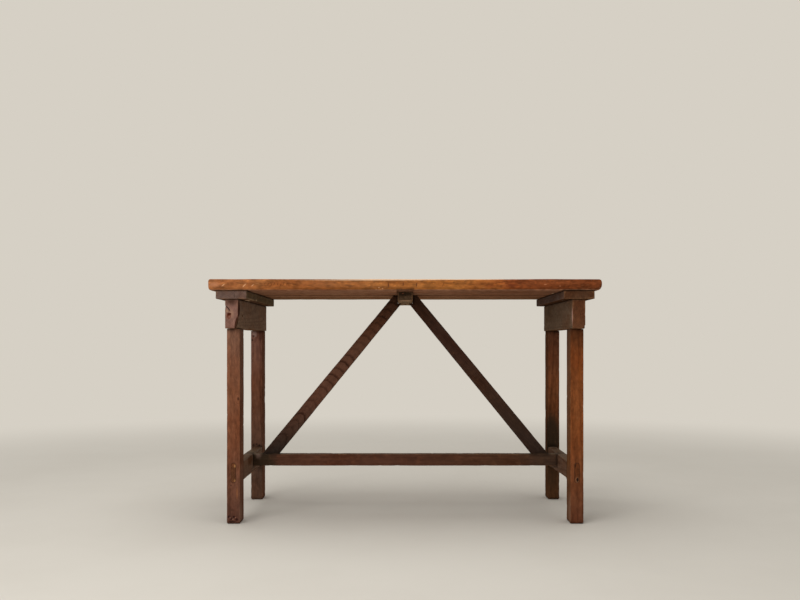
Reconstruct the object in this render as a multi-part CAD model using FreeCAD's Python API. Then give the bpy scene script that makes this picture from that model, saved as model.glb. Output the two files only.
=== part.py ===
import FreeCAD, Part
import math
import os

# Small trestle table of old oak: a thick plank top on two H-shaped end frames, tied by
# one long low stretcher and two braces that rise in a V to a cleat under the top.
# Millimetres. Origin on the floor at the middle of the table; X along the top,
# Y from front (-) to rear (+), Z up.

V = FreeCAD.Vector
X_AXIS = V(1, 0, 0)
Y_AXIS = V(0, 1, 0)
Z_AXIS = V(0, 0, 1)
SIDES = {"left": -1, "right": 1}
ENDS = {"front": -1, "rear": 1}

# ---------------------------------------------------------------- driving dimensions
table_height = 766.0

# plank top
top_length = 1219.0
top_depth = 610.0
top_thick = 35.0
board_count = 3
corner_round = 14.0            # corners of the top, seen from above
edge_round_top = 4.0           # front and rear edges
edge_round_bottom = 12.0
left_round_top = 7.0           # the two ends have worn differently
left_round_bottom = 8.0
right_round_top = 10.0
right_round_bottom = 15.0
tongue_thick = 6.0             # loose tongue between two boards
tongue_width = 20.0
tongue_stop = 60.0             # the groove stops this far from each end

# batten under each end of the top
end_inset = 70.0               # end of the top to the middle of an end frame
batten_width = 96.0
batten_thick = 26.0
batten_length = 590.0

# bolster, the deep top rail of an end frame
bolster_thick = 42.0
bolster_height = 92.0
bolster_length = 571.0
bolster_chamfer = 4.0          # inner front corner of the right bolster
wane_width = 12.0              # natural edge left on the inner front corner of the left one
wane_depth = 26.0
wane_height = 80.0

# legs
leg_thick = 42.0
leg_depth = 67.0
leg_setback = 29.0             # end of the bolster to the face of the leg
foot_chamfer = 3.0
leg_tenon_thick = 14.0
leg_tenon_width = 50.0
leg_tenon_length = 60.0

# low stretcher of an end frame
low_thick = 30.0
low_height = 63.0
low_bottom = 129.0
low_wear = 5.0                 # arris worn down by feet
low_tenon_thick = 14.0
low_tenon_height = 61.0
tenon_proud = 0.8
haunch_run = 22.0              # swelling of the right one at its front leg
haunch_rise = 5.0
belly_fall = 9.0               # its lower edge falls towards the rear

# long stretcher
long_thick = 28.0
long_height = 40.5
long_drop = 1.5                # its top lies this much below the low stretchers' tops
long_tenon_thick = 12.0
long_tenon_height = 28.0
wedge_thick = 3.0
wedge_tip = 1.2
wedge_length = 24.0

# cleat under the middle of the top
cleat_width = 49.0
cleat_thick = 30.5
cleat_length = 330.0
trench_depth = 3.0             # trench across the boards that the cleat lies in

# braces
brace_thick = 25.0
brace_heel_gap = 30.5          # inner face of the end frame to the heel of the brace
brace_foot_width = 58.5        # along the stretcher
brace_head_shoulder = 15.5     # side of the cleat to the outer edge of the brace
brace_head_width = 50.0        # across the brace, level, at the underside of the top
brace_tenon_thick = 10.0
brace_tenon_depth = 14.0
brace_tenon_margin = 8.0

# pegs, dowels, screws and brads
leg_peg_d = 8.0
leg_peg_inboard = 8.0          # off the middle of the leg, towards the middle of the table
low_peg_d = 8.0
low_peg_cover = 6.0            # wood left in front of the blind end
peg_proud = 0.8
dowel_d = 12.0
dowel_depth = 40.0
dowel_count = 3
dowel_pitch = 140.0
screw_length = 45.0
screw_head_d = 9.5
screw_head_depth = 4.5
screw_shank_d = 4.8
screw_point = 7.0
screw_slot = 1.1
screw_turn = 37.0              # each screw slot stands at another angle
cleat_screw_near = 60.0        # from the middle of the cleat
cleat_screw_far = 135.0
brad_width = 4.0
brad_tip = 2.0
brad_length = 40.0
brad_sunk = 1.5
brad_spread = 12.0
brad_from_heel = 16.0

# fits
fit_gap = 0.2                  # all round a tenon, tongue or cleat
pin_gap = 0.05                 # all round a peg, dowel, screw, brad or wedge
arris = 1.5                    # sharp edges are broken by this much

# ---------------------------------------------------------------- levels and places
under_z = table_height - top_thick
batten_z = under_z - batten_thick
shoulder_z = batten_z - bolster_height
low_top = low_bottom + low_height
long_top = low_top - long_drop
long_bottom = long_top - long_height
cleat_bottom = under_z + trench_depth - cleat_thick
frame_x = top_length / 2 - end_inset
leg_y = bolster_length / 2 - leg_setback - leg_depth / 2
low_half = leg_y - leg_depth / 2
low_inner_x = frame_x - leg_thick / 2
low_tenon_z = low_top - low_height / 2
long_tenon_z = long_top - long_height / 2
board_width = top_depth / board_count


# ---------------------------------------------------------------- helpers
def block(x0, x1, y0, y1, z0, z1):
    """Box between two corners."""
    return Part.makeBox(x1 - x0, y1 - y0, z1 - z0, V(x0, y0, z0))


def centred(x, y, z, across, deep, high):
    """Box around a middle point."""
    return block(x - across / 2, x + across / 2, y - deep / 2, y + deep / 2, z - high / 2, z + high / 2)


def outline(corners, radii):
    """Closed wire through the corners, each rounded by its own radius (0 keeps it sharp)."""
    edges = []
    starts = []
    stops = []
    arcs = []
    for i, corner in enumerate(corners):
        to_last = (corners[i - 1] - corner).normalize()
        to_next = (corners[(i + 1) % len(corners)] - corner).normalize()
        half = math.acos(max(-1.0, min(1.0, to_last.dot(to_next)))) / 2
        run = radii[i] / math.tan(half)
        starts.append(corner + to_last * run)
        stops.append(corner + to_next * run)
        middle = (to_last + to_next).normalize()
        crown = corner + middle * (radii[i] / math.sin(half) - radii[i])
        arcs.append(crown)
    for i in range(len(corners)):
        if radii[i] > 0:
            edges.append(Part.Arc(starts[i], arcs[i], stops[i]).toShape())
        following = starts[(i + 1) % len(corners)]
        if stops[i].distanceToPoint(following) > 1e-6:
            edges.append(Part.makeLine(stops[i], following))
    return Part.Wire(edges)


def prism(corners, radii, along):
    """Solid made by moving an outline along a vector."""
    return Part.Face(outline(corners, radii)).extrude(along)


def pick(shape, test):
    """Straight edges whose two ends both pass a test."""
    found = []
    for edge in shape.Edges:
        ends = [vertex.Point for vertex in edge.Vertexes]
        if len(ends) == 2 and all(test(point) for point in ends):
            found.append(edge)
    return found


def ease_long(shape, size):
    """Breaks the sharp long edges of a bar."""
    reach = max(shape.BoundBox.XLength, shape.BoundBox.YLength, shape.BoundBox.ZLength)
    longest = [edge for edge in shape.Edges if edge.Length > reach / 2]
    return shape.makeChamfer(size, longest)


def rod(diameter, start, along, length):
    """Round rod from a start point along a direction."""
    return Part.makeCylinder(diameter / 2, length, start, along)


def cut_all(shape, tools):
    """Takes each tool out of a shape."""
    for tool in tools:
        shape = shape.cut(tool)
    return shape


def to_side(shape, side):
    """Everything is drawn for the right-hand end; the left-hand end is its mirror image."""
    if SIDES[side] > 0:
        return shape
    return shape.mirror(V(0, 0, 0), X_AXIS)


def spread(count, pitch):
    """Places in a row about zero."""
    return [(i - (count - 1) / 2) * pitch for i in range(count)]


def group(shapes):
    """Separate solids that share one node."""
    return Part.makeCompound(shapes)


# ---------------------------------------------------------------- screws and brads
def screw(x, y, z, turn, grow=0.0):
    """Countersunk wood screw with its head at z, pointing up; grow makes its hole."""
    head = screw_head_d / 2 + grow
    shank = screw_shank_d / 2 + grow
    tip = screw_length + grow
    corners = [
        V(0, 0, -grow),
        V(head, 0, -grow),
        V(shank, 0, screw_head_depth),
        V(shank, 0, screw_length - screw_point),
        V(0, 0, tip),
    ]
    body = Part.Face(Part.makePolygon(corners + corners[:1])).revolve(V(0, 0, 0), Z_AXIS, 360)
    if grow == 0.0:
        slot = centred(0, 0, 0, screw_head_d * 1.2, screw_slot, screw_slot * 2)
        body = body.cut(slot)
        body.rotate(V(0, 0, 0), Z_AXIS, turn)
    body.translate(V(x, y, z))
    return body


def brad(point, along, grow=0.0):
    """Square brad that tapers from its top at point, in the direction along; grow makes its hole."""
    def square(side, at):
        half = side / 2 + grow
        corners = [V(-half, -half, at), V(half, -half, at), V(half, half, at), V(-half, half, at)]
        return Part.makePolygon(corners + corners[:1])

    mouth = -(brad_sunk + brad_width) if grow > 0 else 0.0
    wires = [square(brad_width, 0.0), square(brad_tip, brad_length + grow)]
    body = Part.makeLoft(wires, True, True)
    if mouth < 0:
        body = body.fuse(centred(0, 0, mouth / 2, brad_width + 2 * grow, brad_width + 2 * grow, -mouth))
    body.Placement = FreeCAD.Placement(point, FreeCAD.Rotation(Z_AXIS, along))
    return body


# ---------------------------------------------------------------- places of the fixings
def batten_screw_places():
    """Two rows in the strips of the batten that stand clear of the bolster, one screw to a board."""
    off = (bolster_thick + batten_width) / 4
    places = []
    for x in (frame_x - off, frame_x + off):
        for y in spread(board_count, board_width):
            places.append((x, y))
    return places


def cleat_screw_places():
    """Four screws in a line, kept clear of the braces."""
    return [(0.0, y) for y in (-cleat_screw_far, -cleat_screw_near, cleat_screw_near, cleat_screw_far)]


def batten_screws(grow=0.0):
    places = enumerate(batten_screw_places())
    return [screw(x, y, batten_z, i * screw_turn, grow) for i, (x, y) in places]


def cleat_screws(grow=0.0):
    places = enumerate(cleat_screw_places())
    return [screw(x, y, cleat_bottom, i * screw_turn, grow) for i, (x, y) in places]


def bolster_dowels(grow=0.0):
    """Upright dowels that hold the batten on the bolster."""
    length = batten_thick + dowel_depth + grow
    found = []
    for y in spread(dowel_count, dowel_pitch):
        start = V(frame_x, y, under_z - length + grow)
        found.append(rod(dowel_d + 2 * grow, start, Z_AXIS, length))
    return found


def leg_pegs(grow=0.0):
    """Draw pegs through the bolster and the tenons of its two legs."""
    length = bolster_thick + 2 * peg_proud
    z = shoulder_z + leg_tenon_length * 0.7
    found = []
    for end in ENDS.values():
        start = V(frame_x - length / 2, end * (leg_y - leg_peg_inboard), z)
        found.append(rod(leg_peg_d + 2 * grow, start, X_AXIS, length))
    return found


def low_pegs(grow=0.0):
    """Draw pegs driven from outside through leg and low tenon; they stop inside the leg."""
    length = leg_thick - low_peg_cover + peg_proud
    found = []
    for end in ENDS.values():
        start = V(low_inner_x + low_peg_cover - grow, end * leg_y, low_tenon_z)
        found.append(rod(low_peg_d + 2 * grow, start, X_AXIS, length + grow))
    return found


# ---------------------------------------------------------------- shape of a brace
def brace_outer_x(z):
    """Outer edge of the right brace at a height."""
    heel = low_inner_x - brace_heel_gap
    head = cleat_width / 2 + brace_head_shoulder
    return heel + (head - heel) * (z - long_top) / (under_z - long_top)


def brace_inner_x(z):
    """Inner edge of the right brace at a height."""
    toe = low_inner_x - brace_heel_gap - brace_foot_width
    head = cleat_width / 2 + brace_head_shoulder - brace_head_width
    return toe + (head - toe) * (z - long_top) / (under_z - long_top)


def brace_brads(grow=0.0):
    """Two brads across the head into the cleat, and one down through the foot."""
    found = []
    head_z = (under_z + cleat_bottom) / 2
    for y in spread(2, brad_spread):
        start = V(brace_outer_x(head_z) - brad_sunk - brad_width / 2, y, head_z)
        found.append(brad(start, -X_AXIS, grow))
    foot_x = low_inner_x - brace_heel_gap - brad_from_heel
    rise = (under_z - long_top) / (brace_outer_x(long_top) - brace_outer_x(under_z))
    foot_z = long_top + brad_from_heel * rise
    found.append(brad(V(foot_x, 0, foot_z - brad_sunk - brad_width / 2), -Z_AXIS, grow))
    return found


def brace_tenon(grow=0.0):
    """Stub tenon under the foot of the right brace; grow makes its mortise."""
    heel = low_inner_x - brace_heel_gap - brace_tenon_margin
    toe = low_inner_x - brace_heel_gap - brace_foot_width + brace_tenon_margin
    thick = brace_tenon_thick + 2 * grow
    low = long_top - brace_tenon_depth - grow
    return block(toe - grow, heel + grow, -thick / 2, thick / 2, low, long_top)


# ---------------------------------------------------------------- plank top
def top_blank():
    """The whole top: what its plan, its end view and its front view have in common."""
    half_x = top_length / 2
    half_y = top_depth / 2
    plan = prism(
        [V(-half_x, -half_y, under_z), V(half_x, -half_y, under_z),
         V(half_x, half_y, under_z), V(-half_x, half_y, under_z)],
        [corner_round] * 4,
        Z_AXIS * top_thick,
    )
    end_view = prism(
        [V(-half_x, -half_y, under_z), V(-half_x, half_y, under_z),
         V(-half_x, half_y, table_height), V(-half_x, -half_y, table_height)],
        [edge_round_bottom, edge_round_bottom, edge_round_top, edge_round_top],
        X_AXIS * top_length,
    )
    front_view = prism(
        [V(-half_x, -half_y, under_z), V(half_x, -half_y, under_z),
         V(half_x, -half_y, table_height), V(-half_x, -half_y, table_height)],
        [left_round_bottom, right_round_bottom, right_round_top, left_round_top],
        Y_AXIS * top_depth,
    )
    return plan.common(end_view).common(front_view)


def seam_places():
    return [(i + 1) * board_width - top_depth / 2 for i in range(board_count - 1)]


def tongue(seam, grow=0.0):
    """Loose tongue across one seam; grow makes the two grooves it lies in."""
    long = top_length - 2 * tongue_stop + 2 * grow
    z = under_z + top_thick / 2
    return centred(0, seam, z, long, tongue_width + 2 * grow, tongue_thick + 2 * grow)


def trench():
    """Trench for the cleat, through from the front edge to the rear edge."""
    wide = cleat_width + 2 * fit_gap
    return block(-wide / 2, wide / 2, -top_depth / 2, top_depth / 2, under_z, under_z + trench_depth)


def boards():
    tools = [tongue(seam, fit_gap) for seam in seam_places()]
    tools.append(trench())
    tools += cleat_screws(pin_gap)
    for side in SIDES:
        tools += [to_side(hole, side) for hole in batten_screws(pin_gap)]
    blank = top_blank()
    found = []
    for y in spread(board_count, board_width):
        strip = centred(0, y, under_z + top_thick / 2, top_length, board_width, top_thick)
        found.append(cut_all(blank.common(strip), tools))
    return found


def board_names():
    """front, middle and rear; further boards between them are numbered."""
    names = ["front"]
    names += ["middle"] if board_count == 3 else [f"middle_{i + 1}" for i in range(board_count - 2)]
    return names + ["rear"]


def cleat():
    body = block(-cleat_width / 2, cleat_width / 2, -cleat_length / 2, cleat_length / 2,
                 cleat_bottom, cleat_bottom + cleat_thick)
    lower = pick(body, lambda p: abs(p.z - cleat_bottom) < 1e-6)
    body = body.makeChamfer(arris, lower)
    tools = cleat_screws(pin_gap)
    for side in SIDES:
        tools += [to_side(hole, side) for hole in brace_brads(pin_gap)]
    return cut_all(body, tools)


# ---------------------------------------------------------------- end frames
def batten():
    body = centred(frame_x, 0, batten_z + batten_thick / 2, batten_width, batten_length, batten_thick)
    lower = pick(body, lambda p: abs(p.z - batten_z) < 1e-6)
    body = body.makeChamfer(arris, lower)
    return cut_all(body, batten_screws(pin_gap) + bolster_dowels(pin_gap))


def wane():
    """Corner lost to the natural edge of the log: wide at the foot, nothing at the top."""
    low = shoulder_z - arris
    x = frame_x - bolster_thick / 2
    y = -bolster_length / 2
    corner = V(x - arris, y - arris, low)
    across = V(x + wane_width, y - arris, low)
    back = V(x - arris, y + wane_depth, low)
    peak = V(x - arris, y - arris, shoulder_z + wane_height)
    faces = []
    for ring in ((corner, across, back), (corner, across, peak), (across, back, peak), (back, corner, peak)):
        faces.append(Part.Face(Part.makePolygon(list(ring) + [ring[0]])))
    return Part.Solid(Part.makeShell(faces))


def leg_tenon(end, grow=0.0):
    """Stub tenon of a leg, up into the bolster; grow makes its mortise."""
    high = leg_tenon_length + grow
    z = shoulder_z + high / 2
    wide = leg_tenon_thick + 2 * grow
    return centred(frame_x, end * leg_y, z, wide, leg_tenon_width + 2 * grow, high)


def bolster(side):
    z = shoulder_z + bolster_height / 2
    body = centred(frame_x, 0, z, bolster_thick, bolster_length, bolster_height)
    inner = frame_x - bolster_thick / 2
    front = -bolster_length / 2
    if side == "right":
        corner = pick(body, lambda p: abs(p.x - inner) < 1e-6 and abs(p.y - front) < 1e-6)
        body = body.makeChamfer(bolster_chamfer, corner)
    body = body.makeChamfer(arris, pick(body, lambda p: abs(p.z - shoulder_z) < 1e-6))
    if side == "left":
        body = body.cut(wane())
    tools = [leg_tenon(end, fit_gap) for end in ENDS.values()]
    tools += leg_pegs(pin_gap) + bolster_dowels(pin_gap)
    return cut_all(body, tools)


def low_tenon(end, grow=0.0):
    """Round-ended tenon of a low stretcher, through the whole leg; grow makes its mortise."""
    half = low_tenon_thick / 2 + grow
    tall = low_tenon_height / 2 + grow
    proud = tenon_proud if grow == 0.0 else arris
    x = frame_x
    y = end * low_half
    corners = [
        V(x - half, y, low_tenon_z - tall),
        V(x + half, y, low_tenon_z - tall),
        V(x + half, y, low_tenon_z + tall),
        V(x - half, y, low_tenon_z + tall),
    ]
    return prism(corners, [half * 0.98] * 4, Y_AXIS * (end * (leg_depth + proud)))


def leg(end):
    body = centred(frame_x, end * leg_y, shoulder_z / 2, leg_thick, leg_depth, shoulder_z)
    body = body.makeChamfer(foot_chamfer, pick(body, lambda p: abs(p.z) < 1e-6))
    body = ease_long(body, arris)
    body = body.fuse(leg_tenon(end)).removeSplitter()
    return cut_all(body, [low_tenon(end, fit_gap)] + leg_pegs(pin_gap) + low_pegs(pin_gap))


def low_side_view(side):
    """Outline of a low stretcher seen from its end of the table. The right one swells at its
    front leg, and its lower edge falls towards the rear."""
    x = low_inner_x
    rear_bottom = V(x, low_half, low_bottom)
    front_bottom = V(x, -low_half, low_bottom)
    rear_top = V(x, low_half, low_top)
    front_top = V(x, -low_half, low_top)
    lines = [Part.makeLine(rear_bottom, rear_top), Part.makeLine(rear_top, front_top),
             Part.makeLine(front_top, front_bottom)]
    if side == "left":
        lines.append(Part.makeLine(front_bottom, rear_bottom))
        return Part.Wire(lines)
    spring = V(x, -low_half + haunch_run, low_bottom + haunch_rise)
    fallen = V(x, low_half, low_bottom + haunch_rise - belly_fall)
    swell = V(x, -low_half + haunch_run * 0.3, low_bottom + haunch_rise * 0.7)
    lines[0] = Part.makeLine(fallen, rear_top)
    lines.append(Part.Arc(front_bottom, swell, spring).toShape())
    lines.append(Part.makeLine(spring, fallen))
    return Part.Wire(lines)


def long_tenon(grow=0.0):
    """Tenon of the long stretcher, through the low stretcher; grow makes its mortise."""
    proud = tenon_proud if grow == 0.0 else arris
    wide = long_tenon_thick + 2 * grow
    high = long_tenon_height + 2 * grow
    reach = low_inner_x + low_thick + proud
    return block(low_inner_x, reach, -wide / 2, wide / 2, long_tenon_z - high / 2, long_tenon_z + high / 2)


def wedge(grow=0.0):
    """Wedge in a saw cut in the end of the long tenon; grow makes the saw cut."""
    out = low_inner_x + low_thick + tenon_proud
    tip = out - wedge_length - grow
    thick = wedge_thick / 2 + grow
    thin = wedge_tip / 2 + grow
    low = long_tenon_z - long_tenon_height / 2
    corners = [V(tip, -thin, low), V(out, -thick, low), V(out, thick, low), V(tip, thin, low)]
    return prism(corners, [0, 0, 0, 0], Z_AXIS * long_tenon_height)


def low_stretcher(side):
    body = Part.Face(low_side_view(side)).extrude(X_AXIS * low_thick)
    worn = pick(body, lambda p: abs(p.x - low_inner_x) < 1e-6 and abs(p.z - low_top) < 1e-6)
    body = body.makeChamfer(low_wear, worn)
    outer = pick(body, lambda p: abs(p.x - low_inner_x - low_thick) < 1e-6 and abs(p.z - low_top) < 1e-6)
    body = body.makeChamfer(arris, outer)
    for end in ENDS.values():
        body = body.fuse(low_tenon(end))
    body = body.removeSplitter()
    return cut_all(body, [long_tenon(fit_gap)] + low_pegs(pin_gap))


# ---------------------------------------------------------------- long stretcher and braces
def long_stretcher():
    body = centred(0, 0, long_top - long_height / 2, 2 * low_inner_x, long_thick, long_height)
    body = ease_long(body, arris)
    for side in SIDES:
        body = body.fuse(to_side(long_tenon(), side))
    body = body.removeSplitter()
    for side in SIDES:
        tools = [wedge(pin_gap), brace_tenon(fit_gap)] + brace_brads(pin_gap)
        body = cut_all(body, [to_side(tool, side) for tool in tools])
    return body


def brace():
    """Tapered brace with its head notched round the lower corner of the cleat."""
    side_x = cleat_width / 2 + fit_gap
    seat = cleat_bottom - fit_gap
    y = -brace_thick / 2
    corners = [
        V(brace_outer_x(long_top), y, long_top),
        V(brace_outer_x(under_z), y, under_z),
        V(side_x, y, under_z),
        V(side_x, y, seat),
        V(brace_inner_x(seat), y, seat),
        V(brace_inner_x(long_top), y, long_top),
    ]
    body = prism(corners, [0] * len(corners), Y_AXIS * brace_thick)
    body = ease_long(body, arris)
    body = body.fuse(brace_tenon()).removeSplitter()
    return cut_all(body, brace_brads(pin_gap))


# ---------------------------------------------------------------- all the pieces by name
def build():
    pieces = {}
    for name, board in zip(board_names(), boards()):
        pieces[f"top_board_{name}"] = board
    for i, seam in enumerate(seam_places()):
        name = ["front", "rear"][i] if board_count == 3 else str(i + 1)
        pieces[f"top_tongue_{name}"] = tongue(seam)
    pieces["cleat_centre"] = cleat()
    pieces["long_stretcher"] = long_stretcher()
    pieces["cleat_screws"] = group(cleat_screws())
    for side in SIDES:
        pieces[f"batten_{side}"] = to_side(batten(), side)
        pieces[f"bolster_{side}"] = to_side(bolster(side), side)
        pieces[f"end_stretcher_{side}"] = to_side(low_stretcher(side), side)
        pieces[f"brace_{side}"] = to_side(brace(), side)
        pieces[f"stretcher_wedge_{side}"] = to_side(wedge(), side)
        pieces[f"bolster_dowels_{side}"] = to_side(group(bolster_dowels()), side)
        pieces[f"leg_pegs_{side}"] = to_side(group(leg_pegs()), side)
        pieces[f"stretcher_pegs_{side}"] = to_side(group(low_pegs()), side)
        pieces[f"batten_screws_{side}"] = to_side(group(batten_screws()), side)
        pieces[f"brace_brads_{side}"] = to_side(group(brace_brads()), side)
        for end in ENDS:
            pieces[f"leg_{end}_{side}"] = to_side(leg(ENDS[end]), side)
    return pieces


def write_parts(pieces):
    os.makedirs("parts", exist_ok=True)
    for name, shape in pieces.items():
        solids = len(shape.Solids)
        print(f"{name:26s} solids {solids:2d}  valid {shape.isValid()}  volume {shape.Volume:12.1f}")
        shape.exportStep(os.path.join("parts", name + ".step"))


write_parts(build())
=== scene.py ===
"""Old oak trestle table: worn timbers, pegs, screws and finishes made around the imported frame."""

import math

import bmesh
import bpy
from mathutils import Euler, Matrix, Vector


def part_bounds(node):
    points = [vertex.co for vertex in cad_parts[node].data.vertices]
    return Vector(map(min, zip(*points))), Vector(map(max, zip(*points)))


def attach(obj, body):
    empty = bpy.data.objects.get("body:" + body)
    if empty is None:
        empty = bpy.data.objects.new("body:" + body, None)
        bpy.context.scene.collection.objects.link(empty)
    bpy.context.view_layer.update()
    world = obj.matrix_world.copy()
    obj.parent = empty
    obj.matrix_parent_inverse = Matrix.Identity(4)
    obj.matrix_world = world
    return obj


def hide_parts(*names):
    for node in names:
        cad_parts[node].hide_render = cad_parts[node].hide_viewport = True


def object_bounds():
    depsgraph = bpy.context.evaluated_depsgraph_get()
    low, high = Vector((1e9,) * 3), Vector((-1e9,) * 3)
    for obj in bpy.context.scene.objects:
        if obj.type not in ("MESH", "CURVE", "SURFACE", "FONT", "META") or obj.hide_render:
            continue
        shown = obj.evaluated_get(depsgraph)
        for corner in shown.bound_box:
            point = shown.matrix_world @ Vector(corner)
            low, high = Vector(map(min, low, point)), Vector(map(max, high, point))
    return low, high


bl_info = {
    "name": "Old Oak Trestle Table",
    "version": (1, 0, 0),
    "blender": (4, 5, 0),
    "location": "View3D > Sidebar > Trestle Table",
    "description": "Builds the worn timbers, fixings, finishes and stage of an old oak trestle table",
    "category": "Add Mesh",
}

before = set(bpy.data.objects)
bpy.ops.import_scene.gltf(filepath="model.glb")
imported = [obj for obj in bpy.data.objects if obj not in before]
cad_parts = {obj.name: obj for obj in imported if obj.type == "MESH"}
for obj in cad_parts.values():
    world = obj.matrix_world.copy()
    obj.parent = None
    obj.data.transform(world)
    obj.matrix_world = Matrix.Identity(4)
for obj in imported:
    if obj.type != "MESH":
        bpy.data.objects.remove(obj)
CAD_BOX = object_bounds()
BODY = "root"
SIDES = ("left", "right")
ENDS = ("front", "rear")
MM = 0.001
NEAR = 0.4 * MM                # two places closer than this count as one
TAU = math.tau


# ------------------------------------------------------------------ places read from the frame
def points_of(node):
    return [v.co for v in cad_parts[node].data.vertices]


def part_box(node, test):
    """Corners of the part of a frame node whose points pass a test."""
    found = [p for p in points_of(node) if test(p)]
    low = Vector(min(p[i] for p in found) for i in range(3))
    high = Vector(max(p[i] for p in found) for i in range(3))
    return low, high


def solids_of(node, reach):
    """Boxes of the separate solids in a frame node; points within reach of each other are one solid."""
    boxes = []
    for point in points_of(node):
        low, high = point.copy(), point.copy()
        apart = []
        for box in boxes:
            if all(box[0][i] - reach[i] < point[i] < box[1][i] + reach[i] for i in range(3)):
                low = Vector(map(min, low, box[0]))
                high = Vector(map(max, high, box[1]))
            else:
                apart.append(box)
        boxes = apart + [(low, high)]
    return sorted(boxes, key=lambda box: [round(c, 4) for c in box[0]])


def side_of(name):
    return -1 if name == "left" else 1


def end_of(name):
    return -1 if name == "front" else 1


TOP_LOW, TOP_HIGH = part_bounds("top_board_front")[0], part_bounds("top_board_rear")[1]
UNDER_Z = TOP_LOW.z
BATTEN_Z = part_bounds("batten_left")[0].z
SHOULDER_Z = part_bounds("bolster_left")[0].z
CLEAT_LOW, CLEAT_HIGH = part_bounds("cleat_centre")
LONG_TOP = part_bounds("long_stretcher")[1].z
LEG_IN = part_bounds("leg_rear_left")[0].y         # inner faces of the legs, either side of the middle
RAIL_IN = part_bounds("end_stretcher_right")[0].x  # inner faces of the end stretchers
SCREW_REACH = (40 * MM, 40 * MM, 60 * MM)
PEG_REACH = (60 * MM, 40 * MM, 40 * MM)
BRAD_REACH = (50 * MM, 5 * MM, 50 * MM)


# ------------------------------------------------------------------ settings shown in the panel
def length(name, description, default, low=0.0, high=1.0):
    return bpy.props.FloatProperty(
        name=name, description=description, default=default, min=low, max=high,
        subtype="DISTANCE", unit="LENGTH", precision=4,
    )


def share(name, description, default, low=0.0, high=1.0):
    return bpy.props.FloatProperty(
        name=name, description=description, default=default, min=low, max=high, subtype="FACTOR",
    )


def plain(name, description, default):
    return bpy.props.FloatProperty(name=name, description=description, default=default)


def colour(name, description, default):
    return bpy.props.FloatVectorProperty(
        name=name, description=description, default=default, size=3, min=0.0, max=1.0,
        subtype="COLOR",
    )


def tone(red, green, blue):
    """Linear colour of a swatch written in the usual 0 to 255 steps."""
    steps = [value / 255 for value in (red, green, blue)]
    return tuple(s / 12.92 if s <= 0.04045 else ((s + 0.055) / 1.055) ** 2.4 for s in steps)


class TrestleTimberSettings(bpy.types.PropertyGroup):
    step: length("Mesh step", "Spacing of the points along a timber", 4 * MM, 1 * MM)
    arris: length("Arris", "Radius that hands have given the long edges", 2.4 * MM)
    end_arris: length("End arris", "Radius at the sawn ends", 2.0 * MM)
    seam_arris: length("Seam arris", "Radius at seams and joints", 0.8 * MM)
    foot: length("Foot", "Radius worn round the foot of a leg", 6 * MM)
    wobble: length("Wobble", "Depth of the hollows left by the plane", 0.5 * MM)
    wobble_size: length("Wobble size", "Distance between those hollows", 75 * MM)
    knock: length("Knocks", "Depth of the knocks in the edges", 1.8 * MM)
    knock_size: length("Knock size", "Distance between the knocks", 24 * MM)
    joint_gap: length("Joint gap", "Dark line left round a tenon or peg", 0.35 * MM)
    stretcher_arris: length("Stretcher arris", "Radius worn on the inner top edge of an end stretcher", 8 * MM)
    wane: length("Wane", "Width lost to the natural edge of the left bolster", 12 * MM)
    wane_height: length("Wane height", "Height of that natural edge at the front end", 48 * MM)
    wane_depth: length("Wane depth", "How far back that natural edge runs", 85 * MM)


class TrestleTopSettings(bpy.types.PropertyGroup):
    front_round: length("Front edge, above", "Radius of the upper front and rear edges", 4 * MM)
    front_round_low: length("Front edge, below", "Radius of the lower front and rear edges", 11 * MM)
    left_round: length("Left end, above", "Radius of the upper left end", 7 * MM)
    left_round_low: length("Left end, below", "Radius of the lower left end", 8 * MM)
    right_round: length("Right end, above", "Radius of the upper right end", 10 * MM)
    right_round_low: length("Right end, below", "Radius of the lower right end", 15 * MM)
    corner_round: length("Corners", "Radius of the corners seen from above", 5 * MM)
    wobble: length("Wobble", "Depth of the hollows worn in the top", 0.7 * MM)


class TrestleFinishSettings(bpy.types.PropertyGroup):
    ring: length("Ring width", "Width of a year's growth", 5.5 * MM)
    wander: length("Ring wander", "How far the rings stray", 13 * MM)
    pith: length("Pith", "Distance from a timber to the heart of its log", 75 * MM)
    figure: share("Figure", "Strength of the rings", 0.55)
    fibre: share("Fibre", "Strength of the streaks along the grain", 0.5)
    pores: share("Pores", "Strength of the dark pores", 0.6)
    bump: length("Grain depth", "Depth of the grain under the light", 0.35 * MM)
    iron: colour("Iron", "Colour of the old screws and brads", tone(58, 50, 44))
    peg: colour("Pegs", "Colour of the pegs and wedges", tone(104, 70, 46))


class TrestleStageSettings(bpy.types.PropertyGroup):
    eye_distance: length("Eye distance", "Camera in front of the middle", 3.0965, 0.5, 10)
    eye_height: length("Eye height", "Camera above the floor", 0.5667, 0.0, 5)
    lens: plain("Lens", "Focal length in millimetres", 40.7)
    shift_x: plain("Shift X", "Sideways lens shift", -0.0065)
    shift_y: plain("Shift Y", "Upward lens shift", 0.0544)
    floor_colour: colour("Floor", "Colour of the floor", tone(208, 203, 193))
    wall_colour: colour("Backdrop", "Colour of the backdrop", tone(214, 208, 197))
    key_power: plain("Key", "Overhead lamp in watts", 30.0)
    fill_power: plain("Fill", "Front lamp in watts", 60.0)
    sky: plain("Sky", "Strength of the even light", 0.58)


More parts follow.
